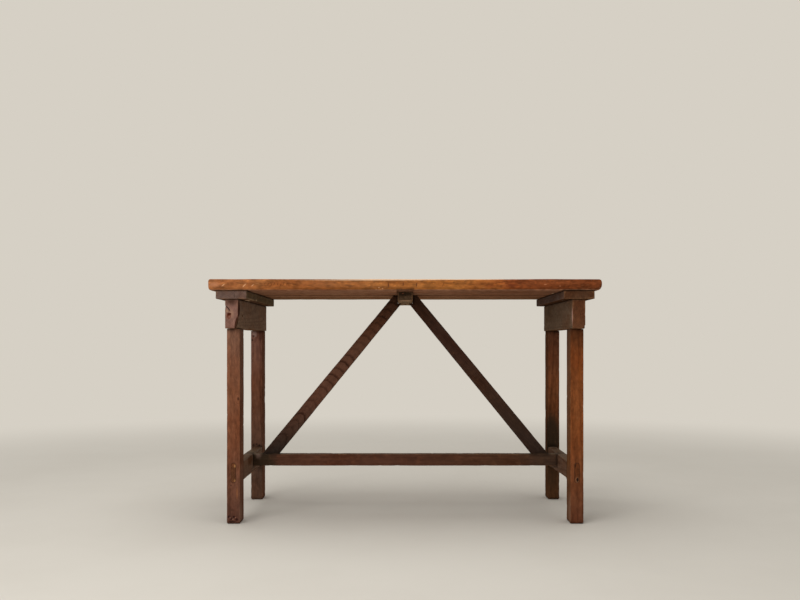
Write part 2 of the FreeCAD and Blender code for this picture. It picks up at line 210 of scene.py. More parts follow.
# ------------------------------------------------------------------ node trees
class Graph:
    """Adds nodes to a tree and joins their sockets."""

    def __init__(self, tree):
        self.tree = tree

    def feed(self, socket, value):
        if isinstance(value, bpy.types.NodeSocket):
            self.tree.links.new(value, socket)
        elif value is not None:
            if socket.type == "RGBA" and len(value) == 3:
                value = (*value, 1.0)
            socket.default_value = value

    def node(self, kind, inputs=None, **settings):
        made = self.tree.nodes.new(kind)
        for key, value in settings.items():
            setattr(made, key, value)
        for key, value in (inputs or {}).items():
            self.feed(made.inputs[key], value)
        return made

    def group(self, tree, inputs):
        kind = "GeometryNodeGroup" if self.tree.bl_idname == "GeometryNodeTree" else "ShaderNodeGroup"
        made = self.tree.nodes.new(kind)
        made.node_tree = tree
        for key, value in inputs.items():
            self.feed(made.inputs[key], value)
        return made.outputs

    def math(self, operation, a, b=None, clamp=False):
        made = self.node("ShaderNodeMath", {0: a, 1: b}, operation=operation, use_clamp=clamp)
        return made.outputs[0]

    def vector(self, operation, a, b=None, scale=None):
        made = self.node("ShaderNodeVectorMath", {0: a, 1: b}, operation=operation)
        if scale is not None:
            self.feed(made.inputs["Scale"], scale)
        scalar = operation in ("LENGTH", "DOT_PRODUCT", "DISTANCE")
        return made.outputs["Value" if scalar else "Vector"]

    def noise(self, vector, scale, detail=2.0, seed=0.0, rough=0.5):
        inputs = {"Vector": vector, "Scale": scale, "Detail": detail, "W": seed, "Roughness": rough}
        return self.node("ShaderNodeTexNoise", inputs, noise_dimensions="4D").outputs[0]

    def ramp(self, value, low, high, out_low=0.0, out_high=1.0):
        inputs = {"Value": value, "From Min": low, "From Max": high, "To Min": out_low, "To Max": out_high}
        return self.node("ShaderNodeMapRange", inputs, interpolation_type="SMOOTHSTEP").outputs["Result"]

    def blend(self, share_of_b, a, b, mode="MIX"):
        made = self.node("ShaderNodeMix", data_type="RGBA", blend_type=mode)
        self.feed(made.inputs["Factor"], share_of_b)
        self.feed(made.inputs[6], a)
        self.feed(made.inputs[7], b)
        return made.outputs[2]

    def combine(self, x, y, z):
        return self.node("ShaderNodeCombineXYZ", {0: x, 1: y, 2: z}).outputs[0]

    def split(self, vector):
        return self.node("ShaderNodeSeparateXYZ", {0: vector}).outputs

    def colours(self, value, stops):
        """Colour ramp through (place, colour) stops."""
        made = self.node("ShaderNodeValToRGB", {0: value})
        elements = made.color_ramp.elements
        elements[0].position, elements[0].color = stops[0][0], (*stops[0][1], 1.0)
        elements[1].position, elements[1].color = stops[-1][0], (*stops[-1][1], 1.0)
        for place, swatch in stops[1:-1]:
            elements.new(place).color = (*swatch, 1.0)
        return made.outputs[0]


def new_group(name, kind, inputs, outputs):
    """Node group with named sockets: each input is (name, type, default)."""
    tree = bpy.data.node_groups.new(name, kind)
    for label, socket, default in inputs:
        made = tree.interface.new_socket(name=label, in_out="INPUT", socket_type="NodeSocket" + socket)
        if default is not None:
            made.default_value = default
    for label, socket in outputs:
        tree.interface.new_socket(name=label, in_out="OUTPUT", socket_type="NodeSocket" + socket)
    graph = Graph(tree)
    return tree, graph, graph.node("NodeGroupInput").outputs, graph.node("NodeGroupOutput").inputs


def once(name, make):
    """The node group of that name, made the first time it is asked for."""
    return bpy.data.node_groups.get(name) or make(name)


# ------------------------------------------------------------------ geometry nodes
def make_worn_surface(name):
    """Moves a surface inwards: slow hollows all over, and knocks where the edges are."""
    tree, g, into, out = new_group(name, "GeometryNodeTree", [
        ("Geometry", "Geometry", None), ("Wobble", "Float", 0.001), ("Wobble Size", "Float", 0.08),
        ("Knock", "Float", 0.002), ("Knock Size", "Float", 0.02), ("Foot Knock", "Float", 0.0),
        ("Foot Height", "Float", 0.04), ("Seed", "Float", 0.0), ("Material", "Material", None),
    ], [("Geometry", "Geometry")])
    place = g.node("GeometryNodeInputPosition").outputs[0]
    normal = g.node("GeometryNodeInputNormal").outputs[0]
    arris = g.node("GeometryNodeInputNamedAttribute", {"Name": "arris"}, data_type="FLOAT").outputs[0]
    slow = g.noise(place, g.math("DIVIDE", 1.0, into["Wobble Size"]), 2.0, into["Seed"])
    hollow = g.math("MULTIPLY", g.ramp(slow, 0.3, 0.7), into["Wobble"])
    quick = g.noise(place, g.math("DIVIDE", 1.0, into["Knock Size"]), 2.0, g.math("ADD", into["Seed"], 7.0))
    struck = g.math("MULTIPLY", g.ramp(quick, 0.54, 0.76), g.math("POWER", arris, 1.5))
    low = g.ramp(g.split(place)["Z"], 0.0, into["Foot Height"], 1.0, 0.0)
    depth = g.math("ADD", into["Knock"], g.math("MULTIPLY", low, into["Foot Knock"]))
    inward = g.math("ADD", hollow, g.math("MULTIPLY", struck, depth))
    offset = g.vector("SCALE", normal, scale=g.math("MULTIPLY", inward, -1.0))
    moved = g.node("GeometryNodeSetPosition", {"Geometry": into["Geometry"], "Offset": offset})
    whole = g.node("GeometryNodeRealizeInstances", {"Geometry": moved.outputs[0]})
    coated = g.node("GeometryNodeSetMaterial", {"Geometry": whole.outputs[0], "Material": into["Material"]})
    g.feed(out["Geometry"], coated.outputs[0])
    return tree


def make_fixings(name):
    """Puts a copy of one fixing on each point, aimed as the point's aim attribute says."""
    tree, g, into, out = new_group(name, "GeometryNodeTree", [
        ("Geometry", "Geometry", None), ("Pattern", "Object", None), ("Size Spread", "Float", 0.03),
        ("Seed", "Int", 0), ("Material", "Material", None),
    ], [("Geometry", "Geometry")])
    pattern = g.node("GeometryNodeObjectInfo", {"Object": into["Pattern"]}).outputs["Geometry"]
    aim = g.node("GeometryNodeInputNamedAttribute", {"Name": "aim"}, data_type="FLOAT_VECTOR").outputs[0]
    least = g.math("SUBTRACT", 1.0, into["Size Spread"])
    size = g.node("FunctionNodeRandomValue", data_type="FLOAT")
    g.feed(size.inputs[2], least)
    g.feed(size.inputs[3], 1.0)
    g.feed(size.inputs["Seed"], into["Seed"])
    wide = g.combine(size.outputs[1], size.outputs[1], 1.0)
    copies = g.node("GeometryNodeInstanceOnPoints", {"Points": into["Geometry"], "Instance": pattern})
    g.feed(copies.inputs["Rotation"], aim)
    g.feed(copies.inputs["Scale"], wide)
    whole = g.node("GeometryNodeRealizeInstances", {"Geometry": copies.outputs[0]})
    coated = g.node("GeometryNodeSetMaterial", {"Geometry": whole.outputs[0], "Material": into["Material"]})
    g.feed(out["Geometry"], coated.outputs[0])
    return tree


def set_input(modifier, name, value):
    for item in modifier.node_group.interface.items_tree:
        if item.item_type == "SOCKET" and item.in_out == "INPUT" and item.name == name:
            modifier[item.identifier] = value
            return
    raise KeyError(name)


def bake(piece):
    """Turns what the modifiers make into a plain mesh."""
    bpy.context.view_layer.update()
    seen = piece.evaluated_get(bpy.context.evaluated_depsgraph_get())
    done = bpy.data.meshes.new_from_object(seen)
    done.name = piece.name
    piece.modifiers.clear()
    before = piece.data
    piece.data = done
    bpy.data.meshes.remove(before)
    return piece


def wear(piece, material, seed, wobble, knock, foot_knock=0.0):
    timber = bpy.context.scene.trestle_timber
    modifier = piece.modifiers.new("worn surface", "NODES")
    modifier.node_group = once("worn surface", make_worn_surface)
    values = {
        "Wobble": wobble, "Wobble Size": timber.wobble_size, "Knock": knock,
        "Knock Size": timber.knock_size, "Foot Knock": foot_knock, "Seed": float(seed),
        "Material": material,
    }
    for name, value in values.items():
        set_input(modifier, name, value)
    return bake(piece)


# ------------------------------------------------------------------ mesh builders
AXES = {"X": (0, 1, 2), "Y": (1, 0, 2), "Z": (2, 0, 1)}    # where the length, width and depth go
CORNER_STEPS = 4
CAP_RINGS = 4
ARRIS_REACH = 9 * MM
SHARP = math.radians(38)


def link(mesh, name):
    piece = bpy.data.objects.new(name, mesh)
    bpy.context.scene.collection.objects.link(piece)
    return piece


def rounding(distance, radius):
    """How far a rounded end draws a side in, at a distance from that end."""
    if radius <= 0 or distance >= radius:
        return 0.0
    return radius - math.sqrt(max(0.0, radius * radius - (radius - distance) ** 2))


def stations(low, high, step, low_round, high_round):
    """Places along a bar: evenly spaced, and closer where its ends are rounded."""
    turns = [1 - math.cos(k / CORNER_STEPS * TAU / 4) for k in range(CORNER_STEPS)]
    start = low + low_round
    stop = high - high_round
    count = max(1, round((stop - start) / step))
    places = [low + low_round * t for t in turns]
    places += [start + (stop - start) * i / count for i in range(count + 1)]
    places += [high - high_round * t for t in reversed(turns)]
    return places


def ring(limits, radii, counts):
    """Rounded rectangle as points (v, w), always with the same number of points.
    radii holds one (across, up) pair for each corner, from the lowest corner round."""
    v0, v1, w0, w1 = limits
    arcs = []
    for (v, w, start), (rv, rw) in zip(((v0, w0, 180), (v1, w0, 270), (v1, w1, 0), (v0, w1, 90)), radii):
        rv = min(rv, (v1 - v0) * 0.48)
        rw = min(rw, (w1 - w0) * 0.48)
        cv = v + rv if v == v0 else v - rv
        cw = w + rw if w == w0 else w - rw
        arc = []
        for k in range(CORNER_STEPS + 1):
            angle = math.radians(start + 90 * k / CORNER_STEPS)
            arc.append((cv + rv * math.cos(angle), cw + rw * math.sin(angle)))
        arcs.append(arc)
    points = []
    for i, arc in enumerate(arcs):
        points += arc
        following = arcs[(i + 1) % 4][0]
        count = counts[i % 2]
        for k in range(1, count):
            t = k / count
            points.append((arc[-1][0] * (1 - t) + following[0] * t, arc[-1][1] * (1 - t) + following[1] * t))
    return points


def arris_weight(place, limits):
    """1 at an edge of the bar, fading to 0 over a reach; place is (v, w, distance to an end)."""
    v0, v1, w0, w1 = limits
    gaps = sorted((min(place[0] - v0, v1 - place[0]), min(place[1] - w0, w1 - place[1]), place[2]))
    return max(0.0, 1.0 - (max(0.0, gaps[0]) + max(0.0, gaps[1])) / ARRIS_REACH)


def bar(name, axis, places, section, step):
    """Closed bar with one ring of points at each place along its axis.
    section(u) gives the limits (v0, v1, w0, w1) and the four corner radii there."""
    middle = section(places[len(places) // 2])[0]
    counts = [max(2, round((middle[1] - middle[0]) / step)), max(2, round((middle[3] - middle[2]) / step))]
    order = AXES[axis]
    verts = []
    weights = []

    def add(u, v, w, limits):
        spot = [0.0, 0.0, 0.0]
        spot[order[0]], spot[order[1]], spot[order[2]] = u, v, w
        verts.append(spot)
        end = min(u - places[0], places[-1] - u)
        weights.append(arris_weight((v, w, end), limits))

    def add_ring(u, shrink=1.0):
        limits, radii = section(u)
        cv, cw = (limits[0] + limits[1]) / 2, (limits[2] + limits[3]) / 2
        for v, w in ring(limits, radii, counts):
            add(u, cv + (v - cv) * shrink, cw + (w - cw) * shrink, limits)

    shares = [k / CAP_RINGS for k in range(1, CAP_RINGS)]
    for shrink in shares:
        add_ring(places[0], shrink)
    for u in places:
        add_ring(u)
    for shrink in reversed(shares):
        add_ring(places[-1], shrink)
    size = 4 * CORNER_STEPS + 2 * sum(counts)
    rows = len(verts) // size
    faces = []
    for row in range(rows - 1):
        for k in range(size):
            a = row * size + k
            b = row * size + (k + 1) % size
            faces.append((a, b, b + size, a + size))
    for row, u in ((0, places[0]), (rows - 1, places[-1])):
        limits = section(u)[0]
        add(u, (limits[0] + limits[1]) / 2, (limits[2] + limits[3]) / 2, limits)
        hub = len(verts) - 1
        for k in range(size):
            faces.append((row * size + k, row * size + (k + 1) % size, hub))
    mesh = solid_mesh(name, verts, faces)
    mesh.attributes.new("arris", "FLOAT", "POINT").data.foreach_set("value", weights)
    return link(mesh, name)


def solid_mesh(name, verts, faces):
    """Closed mesh with its faces turned outwards."""
    mesh = bpy.data.meshes.new(name)
    mesh.from_pydata(verts, [], faces)
    shell = bmesh.new()
    shell.from_mesh(mesh)
    bmesh.ops.recalc_face_normals(shell, faces=shell.faces)
    shell.to_mesh(mesh)
    shell.free()
    return mesh


def even(radius):
    return (radius, radius)


def straight_bar(name, axis, low, high, arris, end_arris, step, special=None, first_round=None):
    """Bar between two corners with every long edge eased alike.
    special(u, limits, radii) may change the limits and radii at a place along it,
    and first_round is how far from its first end such a change needs close places."""
    order = AXES[axis]
    u0, u1 = low[order[0]], high[order[0]]

    def section(u):
        inset = rounding(min(u - u0, u1 - u), end_arris)
        limits = [low[order[1]] + inset, high[order[1]] - inset, low[order[2]] + inset, high[order[2]] - inset]
        radii = [even(arris)] * 4
        if special:
            special(u, limits, radii)
        return limits, radii

    return bar(name, axis, stations(u0, u1, step, first_round or end_arris, end_arris), section, step)


def prism(outline, axis, u0, u1):
    """Outline of (v, w) points pushed along an axis, as points and faces."""
    order = AXES[axis]
    verts = []
    for u in (u0, u1):
        for v, w in outline:
            spot = [0.0, 0.0, 0.0]
            spot[order[0]], spot[order[1]], spot[order[2]] = u, v, w
            verts.append(spot)
    count = len(outline)
    faces = [tuple(range(count)), tuple(range(2 * count - 1, count - 1, -1))]
    faces += [(k, (k + 1) % count, count + (k + 1) % count, count + k) for k in range(count)]
    return verts, faces


def tool_prism(outline, axis, u0, u1):
    """Prism used only to cut or join."""
    return link(solid_mesh("tool", *prism(outline, axis, u0, u1)), "tool")


def tool_box(low, high):
    """Block used only to cut or join."""
    outline = [(low.y, low.z), (high.y, low.z), (high.y, high.z), (low.y, high.z)]
    return tool_prism(outline, "X", low.x, high.x)


def tool_chip(place, half, turn):
    """Turned block that breaks a corner off."""
    tool = tool_box(-Vector(half), Vector(half))
    spin = Euler([math.radians(angle) for angle in turn]).to_matrix()
    for vertex in tool.data.vertices:
        vertex.co = spin @ vertex.co + Vector(place)
    return tool


def lathe(name, profile, count, ripple=0.0):
    """Closed turned shape from (radius, height) rows; it starts and ends on the axis."""
    verts = [(0.0, 0.0, profile[0][1])]
    for radius, z in profile[1:-1]:
        for k in range(count):
            angle = TAU * k / count
            r = radius * (1 + ripple * math.sin(3 * angle + 400 * z) * math.cos(2 * angle))
            verts.append((r * math.cos(angle), r * math.sin(angle), z))
    verts.append((0.0, 0.0, profile[-1][1]))
    faces = []
    last = len(verts) - 1
    rows = len(profile) - 2
    for k in range(count):
        after = (k + 1) % count
        faces.append((0, 1 + k, 1 + after))
        for row in range(rows - 1):
            a, b = 1 + row * count + k, 1 + row * count + after
            faces.append((a, b, b + count, a + count))
        faces.append((last, last - count + after, last - count + k))
    return solid_mesh(name, verts, faces)


def oblong(v0, v1, w0, w1, count=10):
    """Upright slot outline with round ends."""
    radius = (v1 - v0) / 2
    v = (v0 + v1) / 2
    turn = [math.pi * k / count for k in range(count + 1)]
    upper = [(v + radius * math.cos(t), w1 - radius + radius * math.sin(t)) for t in turn]
    lower = [(v - radius * math.cos(t), w0 + radius - radius * math.sin(t)) for t in turn]
    return upper + lower


def circle(v, w, radius, count=20):
    return [(v + radius * math.cos(TAU * k / count), w + radius * math.sin(TAU * k / count)) for k in range(count)]


def joined(piece, tools, operation):
    """Cuts tools out of a piece (DIFFERENCE) or joins them to it (UNION); the tools go."""
    for tool in tools:
        modifier = piece.modifiers.new("joint", "BOOLEAN")
        modifier.operation = operation
        modifier.object = tool
        modifier.solver = "MANIFOLD"
        bake(piece)
        discard(tool)
    return piece


def discard(tool):
    mesh = tool.data
    bpy.data.objects.remove(tool)
    bpy.data.meshes.remove(mesh)


def finish(piece, material, nodes):
    """Gives a piece its material and its place in the frame."""
    piece.data.materials.clear()
    piece.data.materials.append(material)
    piece.data.polygons.foreach_set("use_smooth", [True] * len(piece.data.polygons))
    piece.data.set_sharp_from_angle(angle=SHARP)
    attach(piece, BODY)
    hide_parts(*nodes)
    return piece


def dress(node, material):
    """Gives a frame node that stays its own material."""
    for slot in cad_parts[node].material_slots:
        slot.material = material


def grown(box, by):
    pad = Vector((by, by, by))
    return box[0] - pad, box[1] + pad


def turned(points, middle, angle):
    """Outline points turned about a middle."""
    c, s = math.cos(angle), math.sin(angle)
    return [(middle[0] + c * (v - middle[0]) - s * (w - middle[1]),
             middle[1] + s * (v - middle[0]) + c * (w - middle[1])) for v, w in points]


# ------------------------------------------------------------------ shader groups
def make_oak_grain(name):
    """Solid oak with its grain along Z: year rings round a wandering heart, rays, pores, streaks, blotches."""
    tree, g, into, out = new_group(name, "ShaderNodeTree", [
        ("Vector", "Vector", (0, 0, 0)), ("Seed", "Float", 0.0), ("Ring Width", "Float", 0.005),
        ("Wander", "Float", 0.012), ("Knot Pull", "Float", 0.0), ("Pale", "Color", (0.3, 0.12, 0.04, 1)),
        ("Deep", "Color", (0.1, 0.04, 0.015, 1)), ("Blush", "Color", (0.25, 0.07, 0.02, 1)),
        ("Figure", "Float", 0.55), ("Fibre", "Float", 0.5), ("Pores", "Float", 0.6),
        ("Rays", "Float", 0.5), ("Mottle", "Float", 0.2), ("Band", "Float", 0.75),
    ], [("Colour", "Color"), ("Height", "Float"), ("Dullness", "Float")])
    grain, seed = into["Vector"], into["Seed"]
    slack = g.vector("MULTIPLY", grain, (1, 1, 0.16))
    stray = g.math("SUBTRACT", g.noise(slack, 9.0, 2.0, seed), 0.5)
    flutter = g.math("SUBTRACT", g.noise(slack, 60.0, 2.0, g.math("ADD", seed, 3.0)), 0.5)
    heart = g.vector("LENGTH", g.vector("MULTIPLY", grain, (1, 1, 0)))
    radius = g.math("ADD", heart, g.math("MULTIPLY", stray, into["Wander"]))
    radius = g.math("ADD", radius, g.math("MULTIPLY", flutter, 0.003))
    radius = g.math("ADD", radius, into["Knot Pull"])
    years = g.math("DIVIDE", radius, into["Ring Width"])
    season = g.math("FRACT", years)
    early = g.math("MULTIPLY", g.ramp(season, 0.0, 0.14), g.ramp(season, 0.16, into["Band"], 1.0, 0.0))
    year = g.noise(g.combine(g.math("FLOOR", years), seed, 0.0), 0.73, 0.0, seed)
    rings = g.math("MULTIPLY", early, g.ramp(year, 0.3, 0.65, 0.25, 1.0))
    parts = g.split(grain)
    about = g.math("ADD", g.math("ARCTAN2", parts["Y"], parts["X"]), g.math("MULTIPLY", flutter, 0.06))
    sheets = g.combine(g.math("MULTIPLY", about, 60.0), g.math("MULTIPLY", heart, 30.0),
                       g.math("MULTIPLY", parts["Z"], 42.0))
    rays = g.math("MULTIPLY", g.ramp(g.noise(sheets, 1.0, 2.0, seed), 0.56, 0.68), into["Rays"])
    fine = g.noise(g.vector("MULTIPLY", grain, (1, 1, 0.03)), 420.0, 3.0, seed)
    broad = g.noise(g.vector("MULTIPLY", grain, (1, 1, 0.05)), 85.0, 2.0, g.math("ADD", seed, 5.0))
    streak = g.math("ADD", g.math("MULTIPLY", fine, 0.45), g.math("MULTIPLY", broad, 0.55))
    streak = g.math("MULTIPLY", g.ramp(streak, 0.38, 0.64), into["Fibre"])
    cells = g.noise(g.vector("MULTIPLY", grain, (1, 1, 0.06)), 1150.0, 1.0, seed)
    pores = g.math("MULTIPLY", g.ramp(cells, 0.58, 0.7), g.ramp(rings, 0.0, 0.7, 0.35, 1.0))
    pores = g.math("MULTIPLY", pores, into["Pores"])
    blotch = g.noise(g.vector("MULTIPLY", grain, (1, 1, 0.4)), 16.0, 4.0, g.math("ADD", seed, 9.0), 0.55)
    tint = g.blend(g.ramp(blotch, 0.42, 0.68, 0.0, 0.75), into["Pale"], into["Blush"])
    tint = g.blend(g.math("MULTIPLY", rings, into["Figure"]), tint, into["Deep"])
    tint = g.blend(g.math("MULTIPLY", streak, 0.6), tint, into["Deep"])
    tint = g.blend(rays, tint, g.blend(1.0, into["Pale"], (1.3, 1.22, 1.1, 1.0), "MULTIPLY"))
    tint = g.blend(pores, tint, g.blend(0.55, into["Deep"], (0.004, 0.002, 0.001, 1.0)))
    cloud = g.noise(g.vector("MULTIPLY", grain, (1, 1, 0.45)), 100.0, 3.0, g.math("ADD", seed, 12.0), 0.6)
    swing = g.math("MULTIPLY", g.ramp(cloud, 0.3, 0.7, -1.0, 1.0), into["Mottle"])
    g.feed(out["Colour"], g.blend(1.0, tint, g.math("ADD", 1.0, swing), "MULTIPLY"))
    height = g.math("SUBTRACT", 1.0, g.math("MULTIPLY", pores, 0.7))
    height = g.math("SUBTRACT", height, g.math("MULTIPLY", rings, 0.25))
    g.feed(out["Height"], g.math("ADD", height, g.math("MULTIPLY", broad, 0.35)))
    dull = g.math("ADD", g.math("MULTIPLY", pores, 0.4), g.math("MULTIPLY", g.ramp(blotch, 0.4, 0.7), 0.45))
    g.feed(out["Dullness"], g.math("ADD", dull, g.math("MULTIPLY", rings, 0.15), True))
    return tree


def make_mark(name):
    """Mask of one turned spot with a ragged edge: a knot, nick, stain or chip, a painted highlight or glint, or a
    patch of painted shade.
    """
    tree, g, into, out = new_group(name, "ShaderNodeTree", [
        ("Vector", "Vector", (0, 0, 0)), ("Centre", "Vector", (0, 0, 0)), ("Turn", "Vector", (0, 0, 0)),
        ("Half Size", "Vector", (0.01, 0.01, 0.01)), ("Ragged", "Float", 0.4), ("Soft", "Float", 0.4),
    ], [("Mask", "Float"), ("Reach", "Float")])
    local = g.node("ShaderNodeMapping", {
        "Vector": into["Vector"], "Location": into["Centre"], "Rotation": into["Turn"],
        "Scale": into["Half Size"],
    }, vector_type="TEXTURE").outputs[0]
    torn = g.math("MULTIPLY", g.math("SUBTRACT", g.noise(into["Vector"], 260.0, 2.0), 0.5), into["Ragged"])
    reach = g.math("ADD", g.vector("LENGTH", local), torn)
    g.feed(out["Mask"], g.ramp(reach, g.math("SUBTRACT", 1.0, into["Soft"]), 1.0, 1.0, 0.0))
    g.feed(out["Reach"], reach)
    return tree


def make_edge_wear(name):
    """Mask of the bare wood along worn edges."""
    tree, g, into, out = new_group(name, "ShaderNodeTree", [
        ("Vector", "Vector", (0, 0, 0)), ("Arris", "Float", 0.0), ("Seed", "Float", 0.0),
        ("Spread", "Float", 0.5),
    ], [("Mask", "Float")])
    coarse = g.math("MULTIPLY", g.math("SUBTRACT", g.noise(into["Vector"], 45.0, 3.0, into["Seed"]), 0.5), 1.3)
    fine = g.math("MULTIPLY", g.math("SUBTRACT", g.noise(into["Vector"], 320.0, 2.0, into["Seed"]), 0.5), 0.5)
    worn = g.math("ADD", into["Arris"], g.math("ADD", coarse, fine))
    least = g.math("SUBTRACT", 1.25, into["Spread"])
    g.feed(out["Mask"], g.ramp(worn, least, g.math("ADD", least, 0.3)))
    return tree


def make_dust(name):
    """Mask of the dust that lies on faces turned upwards."""
    tree, g, into, out = new_group(name, "ShaderNodeTree", [
        ("Vector", "Vector", (0, 0, 0)), ("Normal", "Vector", (0, 0, 1)), ("Seed", "Float", 0.0),
    ], [("Mask", "Float")])
    upward = g.ramp(g.split(into["Normal"])["Z"], 0.25, 0.85)
    patch = g.ramp(g.noise(into["Vector"], 24.0, 4.0, into["Seed"], 0.6), 0.35, 0.62, 0.3, 1.0)
    g.feed(out["Mask"], g.math("MULTIPLY", upward, patch))
    return tree


def make_corner_dirt_and_shade(name):
    """Mask that grows darker towards a block: the dirt in a joint, with painted shade where parts meet."""
    tree, g, into, out = new_group(name, "ShaderNodeTree", [
        ("Vector", "Vector", (0, 0, 0)), ("Centre", "Vector", (0, 0, 0)), ("Half Size", "Vector", (0.1, 0.1, 0.1)),
        ("Reach", "Float", 0.03), ("Seed", "Float", 0.0),
    ], [("Mask", "Float")])
    away = g.vector("ABSOLUTE", g.vector("SUBTRACT", into["Vector"], into["Centre"]))
    away = g.vector("MAXIMUM", g.vector("SUBTRACT", away, into["Half Size"]), (0, 0, 0))
    near = g.ramp(g.math("DIVIDE", g.vector("LENGTH", away), into["Reach"]), 0.0, 1.0, 1.0, 0.0)
    patch = g.ramp(g.noise(into["Vector"], 55.0, 3.0, into["Seed"]), 0.3, 0.6, 0.35, 1.0)
    g.feed(out["Mask"], g.math("MULTIPLY", near, patch))
    return tree


def make_strokes(name):
    """Mask of short scratches that run along Z, gathered in patches."""
    tree, g, into, out = new_group(name, "ShaderNodeTree", [
        ("Vector", "Vector", (0, 0, 0)), ("Seed", "Float", 0.0), ("Amount", "Float", 0.5),
    ], [("Mask", "Float")])
    line = g.noise(g.vector("MULTIPLY", into["Vector"], (1, 1, 0.09)), 620.0, 0.0, into["Seed"])
    patch = g.noise(into["Vector"], 21.0, 2.0, g.math("ADD", into["Seed"], 4.0))
    mask = g.math("MULTIPLY", g.ramp(line, 0.7, 0.78), g.ramp(patch, 0.5, 0.66))
    g.feed(out["Mask"], g.math("MULTIPLY", mask, into["Amount"], True))
    return tree


def make_specks(name):
    """Mask of small dark specks and wormholes, a few to a hand's breadth."""
    tree, g, into, out = new_group(name, "ShaderNodeTree", [
        ("Vector", "Vector", (0, 0, 0)), ("Spacing", "Float", 0.02), ("Size", "Float", 0.06),
        ("Share", "Float", 0.3),
    ], [("Mask", "Float")])
    cells = g.node("ShaderNodeTexVoronoi", {
        "Vector": into["Vector"], "Scale": g.math("DIVIDE", 1.0, into["Spacing"]),
    })
    hole = g.ramp(cells.outputs["Distance"], g.math("MULTIPLY", into["Size"], 0.5), into["Size"], 1.0, 0.0)
    chosen = g.math("LESS_THAN", g.split(cells.outputs["Color"])["X"], into["Share"])
    g.feed(out["Mask"], g.math("MULTIPLY", hole, chosen))
    return tree


def make_rim(name):
    """Mask of the dark line round an upright oblong, such as the end of a tenon."""
    tree, g, into, out = new_group(name, "ShaderNodeTree", [
        ("Vector", "Vector", (0, 0, 0)), ("Centre", "Vector", (0, 0, 0)), ("Straight", "Float", 0.02),
        ("Radius", "Float", 0.007), ("Line", "Float", 0.0015),
    ], [("Mask", "Float")])
    away = g.split(g.vector("SUBTRACT", into["Vector"], into["Centre"]))
    up = g.math("MAXIMUM", g.math("SUBTRACT", g.math("ABSOLUTE", away["Z"]), into["Straight"]), 0.0)
    off = g.math("SUBTRACT", g.vector("LENGTH", g.combine(away["X"], up, 0.0)), into["Radius"])
    near = g.ramp(g.math("ABSOLUTE", off), 0.0, into["Line"], 1.0, 0.0)
    patch = g.ramp(g.noise(into["Vector"], 140.0, 2.0), 0.35, 0.6, 0.6, 1.0)
    g.feed(out["Mask"], g.math("MULTIPLY", near, patch))
    return tree


# ------------------------------------------------------------------ materials
BARE_OAK = tone(176, 128, 88)
DUST = tone(122, 106, 86)
# Near-black for dirt in the joints and for painted shade where parts meet.
DIRT_AND_SHADE = tone(26, 19, 14)
CHAR = tone(20, 13, 10)
TURNS = {"X": (0.0, -TAU / 4, 0.0), "Y": (TAU / 4, 0.0, 0.0), "Z": (0.0, 0.0, 0.0)}


def scaled(swatch, by):
    return tuple(min(1.0, value * by) for value in swatch)


def mark(x, y, z, half, swatch, strength=0.8, turn=(0, 0, 0), ragged=0.5, soft=0.6):
    """Spot on a timber, in millimetres and degrees."""
    return {
        "centre": tuple(c * MM for c in (x, y, z)), "half": tuple(c * MM for c in half),
        "turn": tuple(math.radians(a) for a in turn), "swatch": swatch, "strength": strength,
        "ragged": ragged, "soft": soft,
    }


def mix_marks(g, place, tint, marks):
    for spot in marks:
        mask = g.group(once("mark", make_mark), {
            "Vector": place, "Centre": spot["centre"], "Turn": spot["turn"], "Half Size": spot["half"],
            "Ragged": spot["ragged"], "Soft": spot["soft"],
        })["Mask"]
        tint = g.blend(g.math("MULTIPLY", mask, spot["strength"]), tint, (*spot["swatch"], 1.0))
    return tint


def both_ends(axis, swatch, strength=0.9):
    """The tone of the two sawn ends of a timber, for the sides of its material."""
    order = AXES[axis][0]
    return [(tuple(way if i == order else 0 for i in range(3)), swatch, strength) for way in (-1, 1)]


def new_material(name):
    material = bpy.data.materials.new(name)
    material.use_nodes = True
    tree = material.node_tree
    return material, Graph(tree), tree.nodes["Principled BSDF"]


